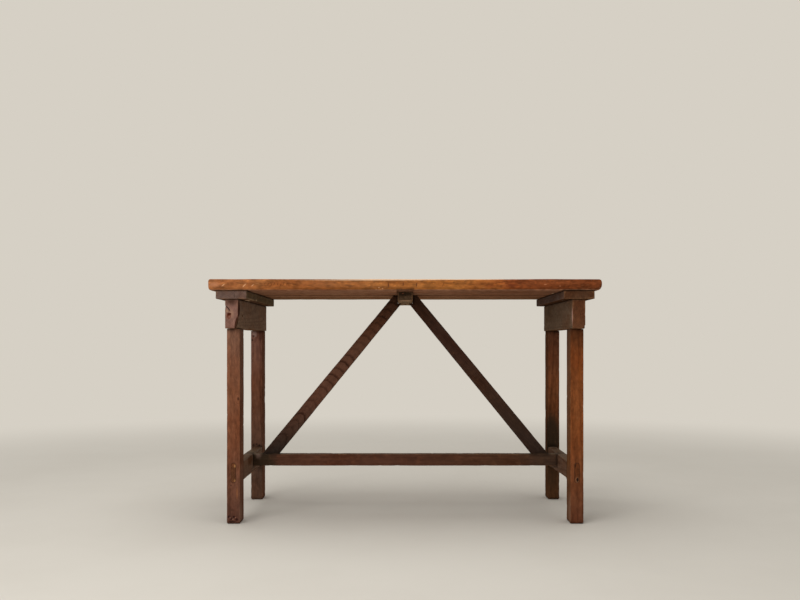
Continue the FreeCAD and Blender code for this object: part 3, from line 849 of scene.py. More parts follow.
def oak(name, axis, seed, tones, box, marks=(), knots=(), dirt=(), turn=None, pith=None, ring=1.0,
        wander=1.0, figure=1.0, band=0.75, fibre=1.0, pores=1.0, rays=0.5, mottle=0.14, gloss=(0.5, 0.75), polish=0.0,
        rubbed=None, bare=0.35, spread=0.5, dust=0.5, scratches=0.5, sides=(), rims=(), above=None):
    """Old oak for one timber: axis is its grain and tones its stain from end to end of the box.
    sides holds the (direction, tone, strength) of faces with a tone of their own: sawn ends, and inner and under
    faces whose tone carries painted light and shade; rims the lines round tenon ends, polish the weight of the wax,
    and rubbed the spot that keeps most of it. dirt holds blocks that darken a timber: dirt with painted shade.
    above holds the figure and mottle of the upper face where they differ."""
    look = bpy.context.scene.trestle_finish
    material, g, shader = new_material(name)
    place = g.node("ShaderNodeTexCoord").outputs["Object"]
    normal = g.node("ShaderNodeNewGeometry").outputs["Normal"]
    arris = g.node("ShaderNodeAttribute", attribute_name="arris").outputs["Fac"]

    order = AXES[axis][0]
    ease = g.math("MULTIPLY", g.math("SUBTRACT", g.noise(place, 11.0, 3.0, seed), 0.5), 0.16)
    spot = g.math("DIVIDE", g.math("SUBTRACT", g.split(place)[axis], box[0][order]), box[1][order] - box[0][order])
    pale = g.colours(g.math("ADD", spot, ease), tones)
    for direction, swatch, strength in sides:
        facing = g.ramp(g.vector("DOT_PRODUCT", normal, direction), 0.6, 0.92)
        pale = g.blend(g.math("MULTIPLY", facing, strength), pale, (*swatch, 1.0))
    deep = g.blend(1.0, pale, (0.4, 0.33, 0.3, 1.0), "MULTIPLY")
    blush = g.blend(1.0, pale, (0.82, 0.62, 0.5, 1.0), "MULTIPLY")

    heart = Vector(pith or (look.pith * math.cos(2.4 * seed), look.pith * math.sin(2.4 * seed), 0.0))
    lean = TURNS[axis] if turn is None else turn
    tilt = (lean[0] + 0.02 * math.sin(seed), lean[1] + 0.02 * math.cos(2 * seed), lean[2])
    middle = (Vector(box[0]) + Vector(box[1])) / 2
    heart -= Euler(tilt).to_matrix() @ middle
    grain = g.node("ShaderNodeMapping", {"Vector": place, "Location": heart, "Rotation": tilt}).outputs[0]
    pull = 0.0
    for knot in knots:
        reach = g.group(once("mark", make_mark), {
            "Vector": place, "Centre": knot["centre"], "Half Size": knot["half"], "Ragged": 0.1,
        })["Reach"]
        pull = g.math("ADD", pull, g.ramp(reach, 0.0, 3.2, look.ring * 3.0, 0.0))
    figure *= look.figure
    if above:
        level = g.ramp(g.split(normal)["Z"], 0.4, 0.8)
        figure = g.ramp(level, 0.0, 1.0, figure, look.figure * above[0])
        mottle = g.ramp(level, 0.0, 1.0, mottle, above[1])
    wood = g.group(once("oak grain", make_oak_grain), {
        "Vector": grain, "Seed": float(seed), "Ring Width": look.ring * ring, "Wander": look.wander * wander,
        "Knot Pull": pull, "Pale": pale, "Deep": deep, "Blush": blush, "Figure": figure,
        "Fibre": look.fibre * fibre, "Pores": look.pores * pores, "Rays": rays, "Mottle": mottle,
        "Band": band,
    })
    tint = mix_marks(g, place, wood["Colour"], list(marks) + list(knots))

    edge = g.group(once("edge wear", make_edge_wear), {
        "Vector": place, "Arris": arris, "Seed": float(seed), "Spread": spread,
    })["Mask"]
    tint = g.blend(g.math("MULTIPLY", edge, bare), tint, g.blend(0.5, pale, (*BARE_OAK, 1.0)))
    strokes = g.group(once("strokes", make_strokes), {"Vector": grain, "Seed": float(seed), "Amount": scratches})["Mask"]
    tint = g.blend(strokes, tint, g.blend(0.4, pale, (*BARE_OAK, 1.0)))
    specks = g.group(once("specks", make_specks), {"Vector": place})["Mask"]
    tint = g.blend(g.math("MULTIPLY", specks, 0.8), tint, (*CHAR, 1.0))
    if dust:
        lying = g.group(once("dust", make_dust), {"Vector": place, "Normal": normal, "Seed": float(seed)})["Mask"]
        tint = g.blend(g.math("MULTIPLY", lying, dust), tint, (*DUST, 1.0))
    # Darken towards nearby blocks: dirt in the joints, with painted shade where parts meet.
    for low, high, reach, strength, swatch in dirt:
        middle = [(a + b) / 2 for a, b in zip(low, high)]
        half = [(b - a) / 2 for a, b in zip(low, high)]
        mask = g.group(once("corner dirt", make_corner_dirt_and_shade), {
            "Vector": place, "Centre": middle, "Half Size": half, "Reach": reach, "Seed": float(seed),
        })["Mask"]
        tint = g.blend(g.math("MULTIPLY", mask, strength), tint, (*swatch, 1.0))
    for centre, straight, radius, line, swatch, strength in rims:
        mask = g.group(once("rim", make_rim), {
            "Vector": place, "Centre": centre, "Straight": straight, "Radius": radius, "Line": line,
        })["Mask"]
        tint = g.blend(g.math("MULTIPLY", mask, strength), tint, (*swatch, 1.0))
    g.feed(shader.inputs["Base Color"], tint)
    g.feed(shader.inputs["Roughness"], g.ramp(wood["Dullness"], 0.0, 1.0, gloss[0], gloss[1]))
    shader.inputs["Specular IOR Level"].default_value = 0.0
    if polish:
        up = g.split(normal)["Z"]
        waxed = g.math("ADD", g.ramp(up, -0.6, -0.2, 0.0, 0.3 * polish), g.ramp(up, 0.1, 0.7, 0.0, 0.7 * polish))
        kept = g.ramp(wood["Dullness"], 0.0, 0.8, 1.0, 0.35)
        if rubbed:
            middle = g.group(once("mark", make_mark), {
                "Vector": place, "Centre": rubbed["centre"], "Half Size": rubbed["half"], "Soft": rubbed["soft"],
            })["Mask"]
            kept = g.math("MULTIPLY", kept, g.ramp(middle, 0.0, 1.0, 0.15, 1.0))
        g.feed(shader.inputs["Coat Weight"], g.math("MULTIPLY", waxed, kept))
        shader.inputs["Coat Roughness"].default_value = 0.32
    hollow = g.math("SUBTRACT", wood["Height"], g.math("MULTIPLY", specks, 1.5))
    relief = g.node("ShaderNodeBump", {"Height": hollow, "Strength": 0.8, "Distance": look.bump})
    g.feed(shader.inputs["Normal"], relief.outputs[0])
    return material


def old_iron(name):
    """Brown iron, rubbed brighter on the high spots and freckled with rust."""
    look = bpy.context.scene.trestle_finish
    material, g, shader = new_material(name)
    place = g.node("ShaderNodeTexCoord").outputs["Object"]
    rust = g.ramp(g.noise(place, 420.0, 4.0, 3.0, 0.6), 0.42, 0.62)
    freckles = g.ramp(g.noise(place, 1500.0, 2.0, 8.0), 0.5, 0.66)
    tint = g.blend(rust, (*look.iron, 1.0), (*tone(96, 58, 36), 1.0))
    tint = g.blend(g.math("MULTIPLY", freckles, 0.5), tint, (*tone(40, 28, 22), 1.0))
    g.feed(shader.inputs["Base Color"], tint)
    g.feed(shader.inputs["Metallic"], g.ramp(rust, 0.0, 1.0, 0.8, 0.1))
    g.feed(shader.inputs["Roughness"], g.ramp(g.math("ADD", rust, freckles), 0.0, 1.6, 0.42, 0.85))
    relief = g.node("ShaderNodeBump", {"Height": freckles, "Strength": 0.7, "Distance": 0.2 * MM})
    g.feed(shader.inputs["Normal"], relief.outputs[0])
    return material


def peg_oak(name, axis, seed, gain=1.0):
    """Darker oak of a peg or wedge, its end grain showing."""
    look = bpy.context.scene.trestle_finish
    swatch = scaled(look.peg, gain)
    stops = [(0.0, scaled(swatch, 0.8)), (1.0, swatch)]
    return oak(name, axis, seed, stops, CAD_BOX, pith=(0.9, 0.35, 0.0), ring=0.5, bare=0.2, dust=0.2, scratches=0.0)


# ------------------------------------------------------------------ stage
class TRESTLE_OT_stage(bpy.types.Operator):
    """Floor, pale surroundings, soft lamps and camera"""

    bl_idname = "trestle.stage"
    bl_label = "Stage"

    def execute(self, context):
        stage = context.scene.trestle_stage
        self.add_floor(stage)
        self.add_lamp("overhead", (-0.3, -0.1, 2.7), (2.8, 2.0), stage.key_power, (0, 0, 0.6))
        self.add_lamp("front", (-1.7, -3.3, 1.5), (2.6, 1.8), stage.fill_power, (0, 0, 0.5))
        self.add_surroundings(context.scene, stage)
        self.add_camera(context.scene, stage)
        return {"FINISHED"}

    def add_floor(self, stage):
        """Round floor whose far part takes on the colour of the surroundings."""
        rim = [(16 * math.cos(TAU * k / 96), 16 * math.sin(TAU * k / 96), 0.0) for k in range(96)]
        mesh = bpy.data.meshes.new("stage_floor")
        mesh.from_pydata(rim, [], [tuple(range(96))])
        material, g, shader = new_material("floor paint")
        place = g.node("ShaderNodeTexCoord").outputs["Object"]
        cloud = g.ramp(g.noise(place, 2.2, 4.0, 1.0, 0.6), 0.35, 0.7, 0.0, 0.08)
        g.feed(shader.inputs["Base Color"], g.blend(cloud, (*stage.floor_colour, 1.0), (0.4, 0.36, 0.3, 1.0)))
        shader.inputs["Roughness"].default_value = 0.9
        shader.inputs["Specular IOR Level"].default_value = 0.15
        glow = g.node("ShaderNodeEmission", {"Color": (*stage.wall_colour, 1.0), "Strength": 1.0})
        far = g.ramp(g.vector("LENGTH", place), 1.3, 4.2)
        mixed = g.node("ShaderNodeMixShader", {0: g.math("MULTIPLY", far, self.seen(g))})
        g.feed(mixed.inputs[1], shader.outputs[0])
        g.feed(mixed.inputs[2], glow.outputs[0])
        g.feed(material.node_tree.nodes["Material Output"].inputs["Surface"], mixed.outputs[0])
        mesh.materials.append(material)
        link(mesh, "stage_floor")

    def seen(self, g):
        """1 for rays that show the surroundings to the camera, in a reflection or through glass."""
        rays = g.node("ShaderNodeLightPath").outputs
        mirrored = g.math("MAXIMUM", rays["Is Glossy Ray"], rays["Is Transmission Ray"])
        return g.math("MAXIMUM", rays["Is Camera Ray"], mirrored)

    def add_lamp(self, name, place, size, power, target):
        lamp = bpy.data.lights.new(name, "AREA")
        lamp.shape = "RECTANGLE"
        lamp.size, lamp.size_y = size
        lamp.energy = power
        made = bpy.data.objects.new(name, lamp)
        bpy.context.scene.collection.objects.link(made)
        made.location = place
        made.rotation_euler = (Vector(target) - Vector(place)).to_track_quat("-Z", "Y").to_euler()

    def add_surroundings(self, scene, stage):
        """Even light on the table, and a pale backdrop wherever the surroundings show."""
        world = bpy.data.worlds.new("surroundings")
        world.use_nodes = True
        g = Graph(world.node_tree)
        even_light = world.node_tree.nodes["Background"]
        even_light.inputs["Color"].default_value = (1.0, 0.98, 0.95, 1.0)
        even_light.inputs["Strength"].default_value = stage.sky
        backdrop = g.node("ShaderNodeBackground", {"Color": (*stage.wall_colour, 1.0), "Strength": 1.0})
        mixed = g.node("ShaderNodeMixShader", {0: self.seen(g)})
        g.feed(mixed.inputs[1], even_light.outputs[0])
        g.feed(mixed.inputs[2], backdrop.outputs[0])
        g.feed(world.node_tree.nodes["World Output"].inputs["Surface"], mixed.outputs[0])
        scene.world = world

    def add_camera(self, scene, stage):
        camera = bpy.data.cameras.new("eye")
        camera.lens = stage.lens
        camera.sensor_width = 36.0
        camera.shift_x = stage.shift_x
        camera.shift_y = stage.shift_y
        made = bpy.data.objects.new("eye", camera)
        scene.collection.objects.link(made)
        made.location = (0.0, -stage.eye_distance, stage.eye_height)
        made.rotation_euler = (TAU / 4, 0.0, 0.0)
        scene.camera = made
        scene.view_settings.view_transform = "Standard"


# ------------------------------------------------------------------ fixings
def on_points(name, pattern, spots, material=None, spread=0.0, seed=0):
    """One mesh with a copy of the pattern at each (place, aim) spot."""
    mesh = bpy.data.meshes.new(name)
    mesh.from_pydata([place for place, aim in spots], [], [])
    aims = [angle for place, aim in spots for angle in aim]
    mesh.attributes.new("aim", "FLOAT_VECTOR", "POINT").data.foreach_set("vector", aims)
    piece = link(mesh, name)
    model = link(pattern, "pattern")
    modifier = piece.modifiers.new("fixings", "NODES")
    modifier.node_group = once("fixings on points", make_fixings)
    for key, value in {"Pattern": model, "Size Spread": spread, "Seed": seed, "Material": material}.items():
        if value is not None:
            set_input(modifier, key, value)
    bake(piece)
    discard(model)
    return piece


def screw_spots(node):
    """Heads of the upright screws in a frame node, each turned to its own angle."""
    boxes = solids_of(node, SCREW_REACH)
    return [(((a.x + b.x) / 2, (a.y + b.y) / 2, a.z), (0.0, 0.0, 1.1 + 1.9 * i)) for i, (a, b) in enumerate(boxes)]


def screw_profile(node, grow=0.0):
    low, high = solids_of(node, SCREW_REACH)[0]
    head = (high.x - low.x) / 2 + grow
    shank = head * 0.46
    tall = high.z - low.z
    return [
        (0.0, -grow), (head * 0.5, -grow), (head, -grow), (head, 0.5 * MM), (shank, 4.2 * MM),
        (shank, tall * 0.8), (shank * 0.5, tall * 0.93), (0.0, tall + grow),
    ]


def screw_holes(node):
    return on_points("holes", lathe("hole", screw_profile(node, 0.15 * MM), 16), screw_spots(node))


def peg_spots(node):
    """Inner ends of the pegs in a frame node, each aimed along its length."""
    spots = []
    for low, high in solids_of(node, PEG_REACH):
        spots.append(((low.x, (low.y + high.y) / 2, (low.z + high.z) / 2), (0.0, TAU / 4, 0.0)))
    return spots


def peg_profile(node, grow=0.0):
    low, high = solids_of(node, PEG_REACH)[0]
    r = (high.z - low.z) / 2 + grow
    tall = high.x - low.x
    if grow:
        return [(0.0, -grow), (r, -grow), (r, tall + grow), (0.0, tall + grow)]
    round_over = [(0.45, 0.0), (0.8, 0.12), (0.96, 0.5), (1.0, 1.1)]
    rows = [(r * share_of, rise * MM) for share_of, rise in round_over]
    rows += [(r * share_of, tall - rise * MM) for share_of, rise in reversed(round_over)]
    return [(0.0, 0.0)] + rows + [(0.0, tall)]


def peg_holes(node, grow=0.12 * MM):
    return on_points("holes", lathe("hole", peg_profile(node, grow), 20), peg_spots(node))


def brad_holes(side):
    """Square holes of the brads of one brace, open outwards."""
    gap = 0.1 * MM
    tools = []
    for low, high in solids_of(f"brace_brads_{side}", BRAD_REACH):
        low, high = grown((low, high), gap)
        if high.z - low.z > high.x - low.x:
            high.z += 10 * MM
        elif side == "left":
            low.x -= 10 * MM
        else:
            high.x += 10 * MM
        tools.append(tool_box(low, high))
    return tools


class TRESTLE_OT_fixings(bpy.types.Operator):
    """Slotted screws, draw pegs and square brads"""

    bl_idname = "trestle.fixings"
    bl_label = "Screws, pegs and brads"

    def execute(self, context):
        iron = old_iron("old iron")
        for i, node in enumerate(("batten_screws_left", "batten_screws_right", "cleat_screws")):
            piece = on_points(f"{node}_turned", self.screw(node), screw_spots(node), iron, 0.02, i)
            finish(piece, iron, [node])
        for i, side in enumerate(SIDES):
            for k, kind in enumerate(("leg_pegs", "stretcher_pegs")):
                node = f"{kind}_{side}"
                material = peg_oak(f"peg oak {node}", "X", 71 + 2 * i + k, (0.9, 0.75)[k])
                pattern = lathe("peg", peg_profile(node), 20, 0.025)
                piece = on_points(f"{node}_whittled", pattern, peg_spots(node), material, 0.02, 5 + k)
                finish(piece, material, [node])
            self.brads(side, iron)
        return {"FINISHED"}

    def screw(self, node):
        """Countersunk head with a worn slot, and a tapered shank."""
        head = link(lathe("screw", screw_profile(node), 28), "screw")
        wide = 0.55 * MM
        long = 6 * MM
        joined(head, [tool_box(Vector((-long, -wide, -1 * MM)), Vector((long, wide, 1.1 * MM)))], "DIFFERENCE")
        mesh = head.data
        bpy.data.objects.remove(head)
        return mesh

    def brads(self, side, iron):
        """Tapered square shanks with hammered tops."""
        spots = []
        for low, high in solids_of(f"brace_brads_{side}", BRAD_REACH):
            middle = (low + high) / 2
            if high.z - low.z > high.x - low.x:
                tall, wide = high.z - low.z, high.x - low.x
                spots.append(((middle.x, middle.y, high.z), (TAU / 2, 0.0, 0.0)))
            elif side == "left":
                spots.append(((low.x, middle.y, middle.z), (0.0, TAU / 4, 0.0)))
            else:
                spots.append(((high.x, middle.y, middle.z), (0.0, -TAU / 4, 0.0)))
        rows = [(0.0, 0.0), (0.6, 0.0), (0.92, 0.25 * MM), (1.0, 0.9 * MM), (0.95, 2 * MM), (0.5, tall * 0.98), (0.0, tall)]
        half = wide / 2 * math.sqrt(2)
        pattern = lathe("brad", [(r * half, z) for r, z in rows], 4)
        for vertex in pattern.vertices:
            x, y = vertex.co.x, vertex.co.y
            vertex.co.x, vertex.co.y = (x - y) * math.sqrt(0.5), (x + y) * math.sqrt(0.5)
        piece = on_points(f"brace_brads_{side}_forged", pattern, spots, iron, 0.03, 9)
        finish(piece, iron, [f"brace_brads_{side}"])


# ------------------------------------------------------------------ top
TOP_TONES = {
    "front": [
        (0.0, tone(156, 101, 62)), (0.3, tone(145, 90, 45)), (0.62, tone(167, 105, 49)), (0.78, tone(128, 66, 31)),
        (1.0, tone(114, 63, 36)),
    ],
    "middle": [
        (0.0, tone(138, 86, 48)), (0.45, tone(160, 102, 54)), (0.75, tone(150, 92, 50)), (1.0, tone(124, 72, 40)),
    ],
    "rear": [(0.0, tone(124, 76, 44)), (0.6, tone(148, 90, 46)), (1.0, tone(128, 76, 43))],
}
FRONT_EDGE = -305
# Paler, greyer underside of each board: partly bare unfinished oak, partly painted light in place of the fill light it
# lacks.
UNDER_TONES = {"front": tone(155, 113, 89), "middle": tone(158, 116, 90), "rear": tone(142, 105, 78)}
PALE_NICK = tone(216, 164, 122)
# Colour of the painted highlight along the upper front arris.
PAINTED_ARRIS_HIGHLIGHT = tone(220, 182, 145)
RING_DARK = tone(78, 38, 19)
WAXED = mark(61, 0, 766, (520, 2000, 2000), PALE_NICK, soft=0.5)


class TRESTLE_OT_boards(bpy.types.Operator):
    """Three boards of the top, with tongue grooves, trench and screw holes, and their tongues"""

    bl_idname = "trestle.boards"
    bl_label = "Top boards"

    def execute(self, context):
        for i, place in enumerate(("front", "middle", "rear")):
            self.build(context.scene, i, place)
        for i, seam in enumerate(("front", "rear")):
            dress(f"top_tongue_{seam}", peg_oak(f"tongue oak {seam}", "X", 81 + i))
        return {"FINISHED"}

    def marks(self, place):
        """Nicks and ring lines in the front edge, a painted highlight along its upper arris, painted glints and
        painted shade along its lower arris; stains and knots on the top, and painted shade on the right of the
        underside.
        """
        if place == "front":
            spots = [
                # Painted highlight along the upper front arris, fainter further left.
                mark(61, FRONT_EDGE + 1, 765.5, (365, 5, 3), PAINTED_ARRIS_HIGHLIGHT, 0.85, ragged=0.3, soft=0.45),
                mark(-115, FRONT_EDGE, 762.5, (275, 5, 3.4), PAINTED_ARRIS_HIGHLIGHT, 0.5, ragged=0.9, soft=0.8),
                # Painted shade along the lower front arris where it rounds under.
                mark(-130, FRONT_EDGE + 4, 738.5, (470, 12, 7), tone(98, 56, 31), 0.38, ragged=0.3, soft=0.8),
                mark(-562, FRONT_EDGE, 747, (1.7, 5, 8), PALE_NICK, 0.85, (0, 52, 0)),
                mark(-497, FRONT_EDGE, 746, (1.7, 5, 10.5), PALE_NICK, 0.95, (0, 45, 0)),
                mark(-471, FRONT_EDGE, 746.5, (1.5, 5, 6.5), PALE_NICK, 0.85, (0, 50, 0)),
                mark(-590, FRONT_EDGE, 749, (26, 9, 11), tone(196, 134, 98), 0.5, soft=0.9),
                mark(-90, FRONT_EDGE, 734, (3, 6, 2.6), PALE_NICK, 0.85),
                mark(-81, FRONT_EDGE, 739.5, (2.5, 5, 2.4), PALE_NICK, 0.8),
                mark(-70, FRONT_EDGE, 736, (3.5, 5, 2.4), PALE_NICK, 0.85),
                # Two painted glints on the front edge.
                mark(433, FRONT_EDGE, 749, (6, 3, 2), tone(190, 130, 92), 0.6),
                mark(478, FRONT_EDGE, 744, (3, 3, 2), tone(180, 118, 84), 0.6),
                mark(150, FRONT_EDGE, 756, (5, 3, 1.8), tone(58, 32, 20), 0.7),
                mark(-52, FRONT_EDGE, 747, (2.6, 4, 9), RING_DARK, 0.85, (0, -4, 0)),
                mark(-6, FRONT_EDGE, 750, (2.4, 4, 8), RING_DARK, 0.75),
                mark(35, FRONT_EDGE, 748, (2.6, 4, 10), RING_DARK, 0.85, (0, 9, 0)),
                mark(117, FRONT_EDGE, 748, (2.2, 4, 9), RING_DARK, 0.55, (0, 20, 0)),
                mark(262, FRONT_EDGE, 743, (24, 6, 9), tone(112, 48, 24), 0.4, soft=0.9),
                mark(486, -124, 731, (5, 32, 4), tone(240, 200, 164), 0.95),
                # Painted shade on the right of the underside.
                mark(330, -200, 731, (340, 150, 4), tone(108, 70, 48), 0.5, soft=0.95),
            ]
            for k in range(8):
                place = (-433 + 9.7 * k, FRONT_EDGE, 752 - 2 * (k % 3))
                spots.append(mark(*place, (1.5, 4, 6), RING_DARK, 0.75, (0, 24, 0)))
            return spots, [mark(330, FRONT_EDGE, 746, (17, 12, 6), tone(96, 42, 22), 0.6, soft=0.9)]
        if place == "middle":
            return [
                mark(-240, 30, 766, (60, 45, 4), tone(92, 48, 24), 0.35, ragged=0.8, soft=0.9),
                mark(300, -40, 766, (34, 30, 4), tone(70, 36, 20), 0.3, ragged=0.6, soft=0.8),
                # Painted shade on the right of the underside.
                mark(340, 0, 731, (330, 150, 4), tone(110, 68, 44), 0.4, soft=0.95),
            ], [mark(110, 40, 766, (13, 10, 30), tone(70, 36, 20), 0.8)]
        return [
            mark(-430, 190, 766, (44, 30, 4), tone(84, 44, 24), 0.3, ragged=0.8, soft=0.9),
        ], [mark(-300, 215, 766, (11, 9, 30), tone(66, 34, 20), 0.8)]

    def build(self, scene, index, place):
        timber, top = scene.trestle_timber, scene.trestle_top
        node = f"top_board_{place}"
        low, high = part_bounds(node)
        outer_front, outer_rear = place == "front", place == "rear"

        def section(x):
            from_left, from_right = x - low.x, high.x - x
            lift = rounding(from_left, top.left_round_low) + rounding(from_right, top.right_round_low)
            drop = rounding(from_left, top.left_round) + rounding(from_right, top.right_round)
            corner = rounding(min(from_left, from_right), top.corner_round)
            limits = (
                low.y + (corner if outer_front else 0.0), high.y - (corner if outer_rear else 0.0),
                low.z + lift, high.z - drop,
            )
            seam = even(timber.seam_arris)
            above = even(top.front_round)
            below = even(top.front_round_low * (0.8 + 0.45 * (x - low.x) / (high.x - low.x)))
            radii = (
                below if outer_front else seam, below if outer_rear else seam,
                above if outer_rear else seam, above if outer_front else seam,
            )
            return limits, radii

        ends = (top.corner_round, max(top.corner_round, top.right_round_low))
        board = bar(f"{node}_oak", "X", stations(low.x, high.x, timber.step, *ends), section, timber.step)
        marks, knots = self.marks(place)
        # Darker underside: painted shade round the cleat trench, beside the battens and round the brace heads; dark
        # seams between the boards.
        trench_dirt_and_shade = (
            (CLEAT_LOW.x, TOP_LOW.y, UNDER_Z), (CLEAT_HIGH.x, TOP_HIGH.y, CLEAT_HIGH.z), 7 * MM, 0.6, DIRT_AND_SHADE,
        )
        dirt = [trench_dirt_and_shade]
        for side in SIDES:
            dirt.append((*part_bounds(f"batten_{side}"), 9 * MM, 0.8, DIRT_AND_SHADE))
            dirt.append((*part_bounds(f"brace_{side}"), 14 * MM, 0.6, DIRT_AND_SHADE))
        for seam in (low.y, high.y):
            if abs(seam) < abs(TOP_LOW.y) - NEAR:
                dirt.append(((low.x, seam, low.z), (high.x, seam, high.z), 2.4 * MM, 0.85, DIRT_AND_SHADE))
        material = oak(
            f"oak {node}", "X", 1.7 + index, TOP_TONES[place], (TOP_LOW, TOP_HIGH), marks, knots, dirt,
            pith=(95 * MM, (20 - 30 * index) * MM, 0.0), ring=1.25, wander=1.5, figure=0.8, fibre=0.6,
            rays=0.8, mottle=0.34, gloss=(0.35, 0.6), polish=0.6, rubbed=WAXED, bare=0.4, spread=0.42,
            dust=0.0, scratches=0.8, sides=[((0, 0, -1), UNDER_TONES[place], 0.95)], above=(1.25, 0.16),
        )
        wear(board, material, 11 + index, top.wobble, timber.knock * 0.55)
        gap = timber.joint_gap
        tools = [tool_box(
            Vector((CLEAT_LOW.x - gap, TOP_LOW.y - gap, UNDER_Z - gap)),
            Vector((CLEAT_HIGH.x + gap, TOP_HIGH.y + gap, CLEAT_HIGH.z + NEAR / 4)),
        )]
        for seam in ("front", "rear"):
            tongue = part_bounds(f"top_tongue_{seam}")
            if tongue[0].y < high.y and tongue[1].y > low.y:
                tools.append(tool_box(*grown(tongue, gap)))
        tools += [screw_holes(f"batten_screws_{side}") for side in SIDES] + [screw_holes("cleat_screws")]
        joined(board, tools, "DIFFERENCE")
        finish(board, material, [node])


# ------------------------------------------------------------------ rails under the top
class TRESTLE_OT_rails(bpy.types.Operator):
    """Battens under the top and the cleat in the middle"""

    bl_idname = "trestle.rails"
    bl_label = "Battens and cleat"

    def execute(self, context):
        timber = context.scene.trestle_timber
        for i, side in enumerate(SIDES):
            self.batten(timber, i, side)
        self.cleat(timber)
        return {"FINISHED"}

    def batten(self, timber, index, side):
        node = f"batten_{side}"
        low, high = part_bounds(node)
        body = (tone(110, 82, 63), tone(94, 66, 48))[index]
        # Paler inner faces: partly raw unfinished oak, partly painted light in place of the fill light they lack.
        inner = (tone(115, 102, 81), tone(101, 85, 78))[index]
        ends = (tone(103, 84, 77), tone(83, 57, 40))[index]
        marks = [
            mark(-509, -172, 705, (9, 38, 4), tone(230, 196, 158), 0.95),
            # Pale strip along the inner lower arris: painted light from the floor.
            mark(-491.5, -200, 707, (5, 90, 5), tone(176, 150, 118), 0.5, ragged=1.2, soft=0.8),
            mark(-491.5, -110, 709, (5, 16, 4), tone(200, 170, 136), 0.7),
        ] if side == "left" else [mark(505, 60, 705, (7, 30, 3), tone(60, 42, 30), 0.5)]
        material = oak(
            f"oak {node}", "Y", 21.3 + index, [(0.0, body), (1.0, scaled(body, 0.85))], (low, high), marks,
            figure=0.6, fibre=0.6, bare=0.3, dust=0.0,
            sides=[((-side_of(side), 0, 0), inner, 0.9), *both_ends("Y", ends)],
            # Darker where the batten meets the bolster and the top: painted shade, with dirt in the joints.
            dirt=[
                (*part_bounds(f"bolster_{side}"), 7 * MM, 0.6, DIRT_AND_SHADE),
                ((low.x, low.y, UNDER_Z), (high.x, high.y, UNDER_Z), 5 * MM, 0.7, DIRT_AND_SHADE),
            ],
        )
        piece = straight_bar(f"{node}_oak", "Y", low, high, timber.arris, timber.end_arris, timber.step)
        wear(piece, material, 21 + index, timber.wobble, timber.knock)
        tools = [screw_holes(f"batten_screws_{side}")] + dowel_holes(side)
        joined(piece, tools + checks(low, CHECKS[node]), "DIFFERENCE")
        finish(piece, material, [node])

    def cleat(self, timber):
        low, high = CLEAT_LOW, CLEAT_HIGH
        body = tone(86, 71, 56)
        front = low.y / MM
        marks = [
            # Painted shade across the top of the front face under the top, a painted highlight where it meets the
            # underside, and a pale band along the lower front edge, painted light from the floor.
            mark(0, front, 728, (30, 3, 9), tone(40, 30, 22), 0.7, soft=0.5),
            mark(-8, front, 729.5, (4, 3, 2), tone(160, 96, 70), 0.7),
            mark(2, front, 705, (26, 4, 3), tone(168, 138, 112), 0.7),
        ]
        material = oak(
            "oak cleat_centre", "Y", 25.9, [(0.0, body), (1.0, scaled(body, 0.7))], (low, high), marks,
            bare=0.5, dust=0.0, mottle=0.3,
            # Paler bottom face: painted light from the floor.
            sides=[((0, 0, -1), tone(140, 115, 91), 0.95), *both_ends("Y", tone(98, 78, 60))],
            # Darker beside the brace heads: painted shade, with dirt in the joints.
            dirt=[(*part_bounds(f"brace_{side}"), 4 * MM, 0.4, DIRT_AND_SHADE) for side in SIDES],
        )
        piece = straight_bar("cleat_centre_oak", "Y", low, high, timber.arris, timber.end_arris, timber.step)
        wear(piece, material, 25, timber.wobble * 0.6, timber.knock)
        tools = [screw_holes("cleat_screws")] + brad_holes("left") + brad_holes("right")
        joined(piece, tools, "DIFFERENCE")
        finish(piece, material, ["cleat_centre"])


def dowel_holes(side):
    """Round holes for the upright dowels between batten and bolster."""
    gap = 0.1 * MM
    tools = []
    for low, high in solids_of(f"bolster_dowels_{side}", (30 * MM, 30 * MM, 90 * MM)):
        outline = circle((low.x + high.x) / 2, (low.y + high.y) / 2, (high.x - low.x) / 2 + gap)
        tools.append(tool_prism(outline, "Z", low.z - gap, high.z + gap))
    return tools


CHECKS = {
    "batten_left": [(-529, 706, 729, 0.9, 30, 4)],
    "batten_right": [(551, 707, 722, 0.7, 22, -8)],
    "bolster_left": [],
    "bolster_right": [(545, 640, 676, 0.8, 26, 6), (533, 668, 690, 0.6, 18, -5)],
}


def checks(low, rows):
    """Drying cracks in a front end: (x, bottom, top, width, depth, lean) in millimetres and degrees."""
    tools = []
    for x, bottom, top, wide, deep, lean in rows:
        x, bottom, top, wide, deep = (value * MM for value in (x, bottom, top, wide, deep))
        middle = (bottom + top) / 2
        outline = [(x - wide / 5, bottom), (x + wide / 5, bottom), (x + wide / 2, middle), (x + wide / 6, top),
                   (x - wide / 6, top), (x - wide / 2, middle)]
        outline = turned(outline, (x, middle), math.radians(lean))
        tools.append(tool_prism(outline, "Y", low.y - 2 * MM, low.y + deep))
    return tools


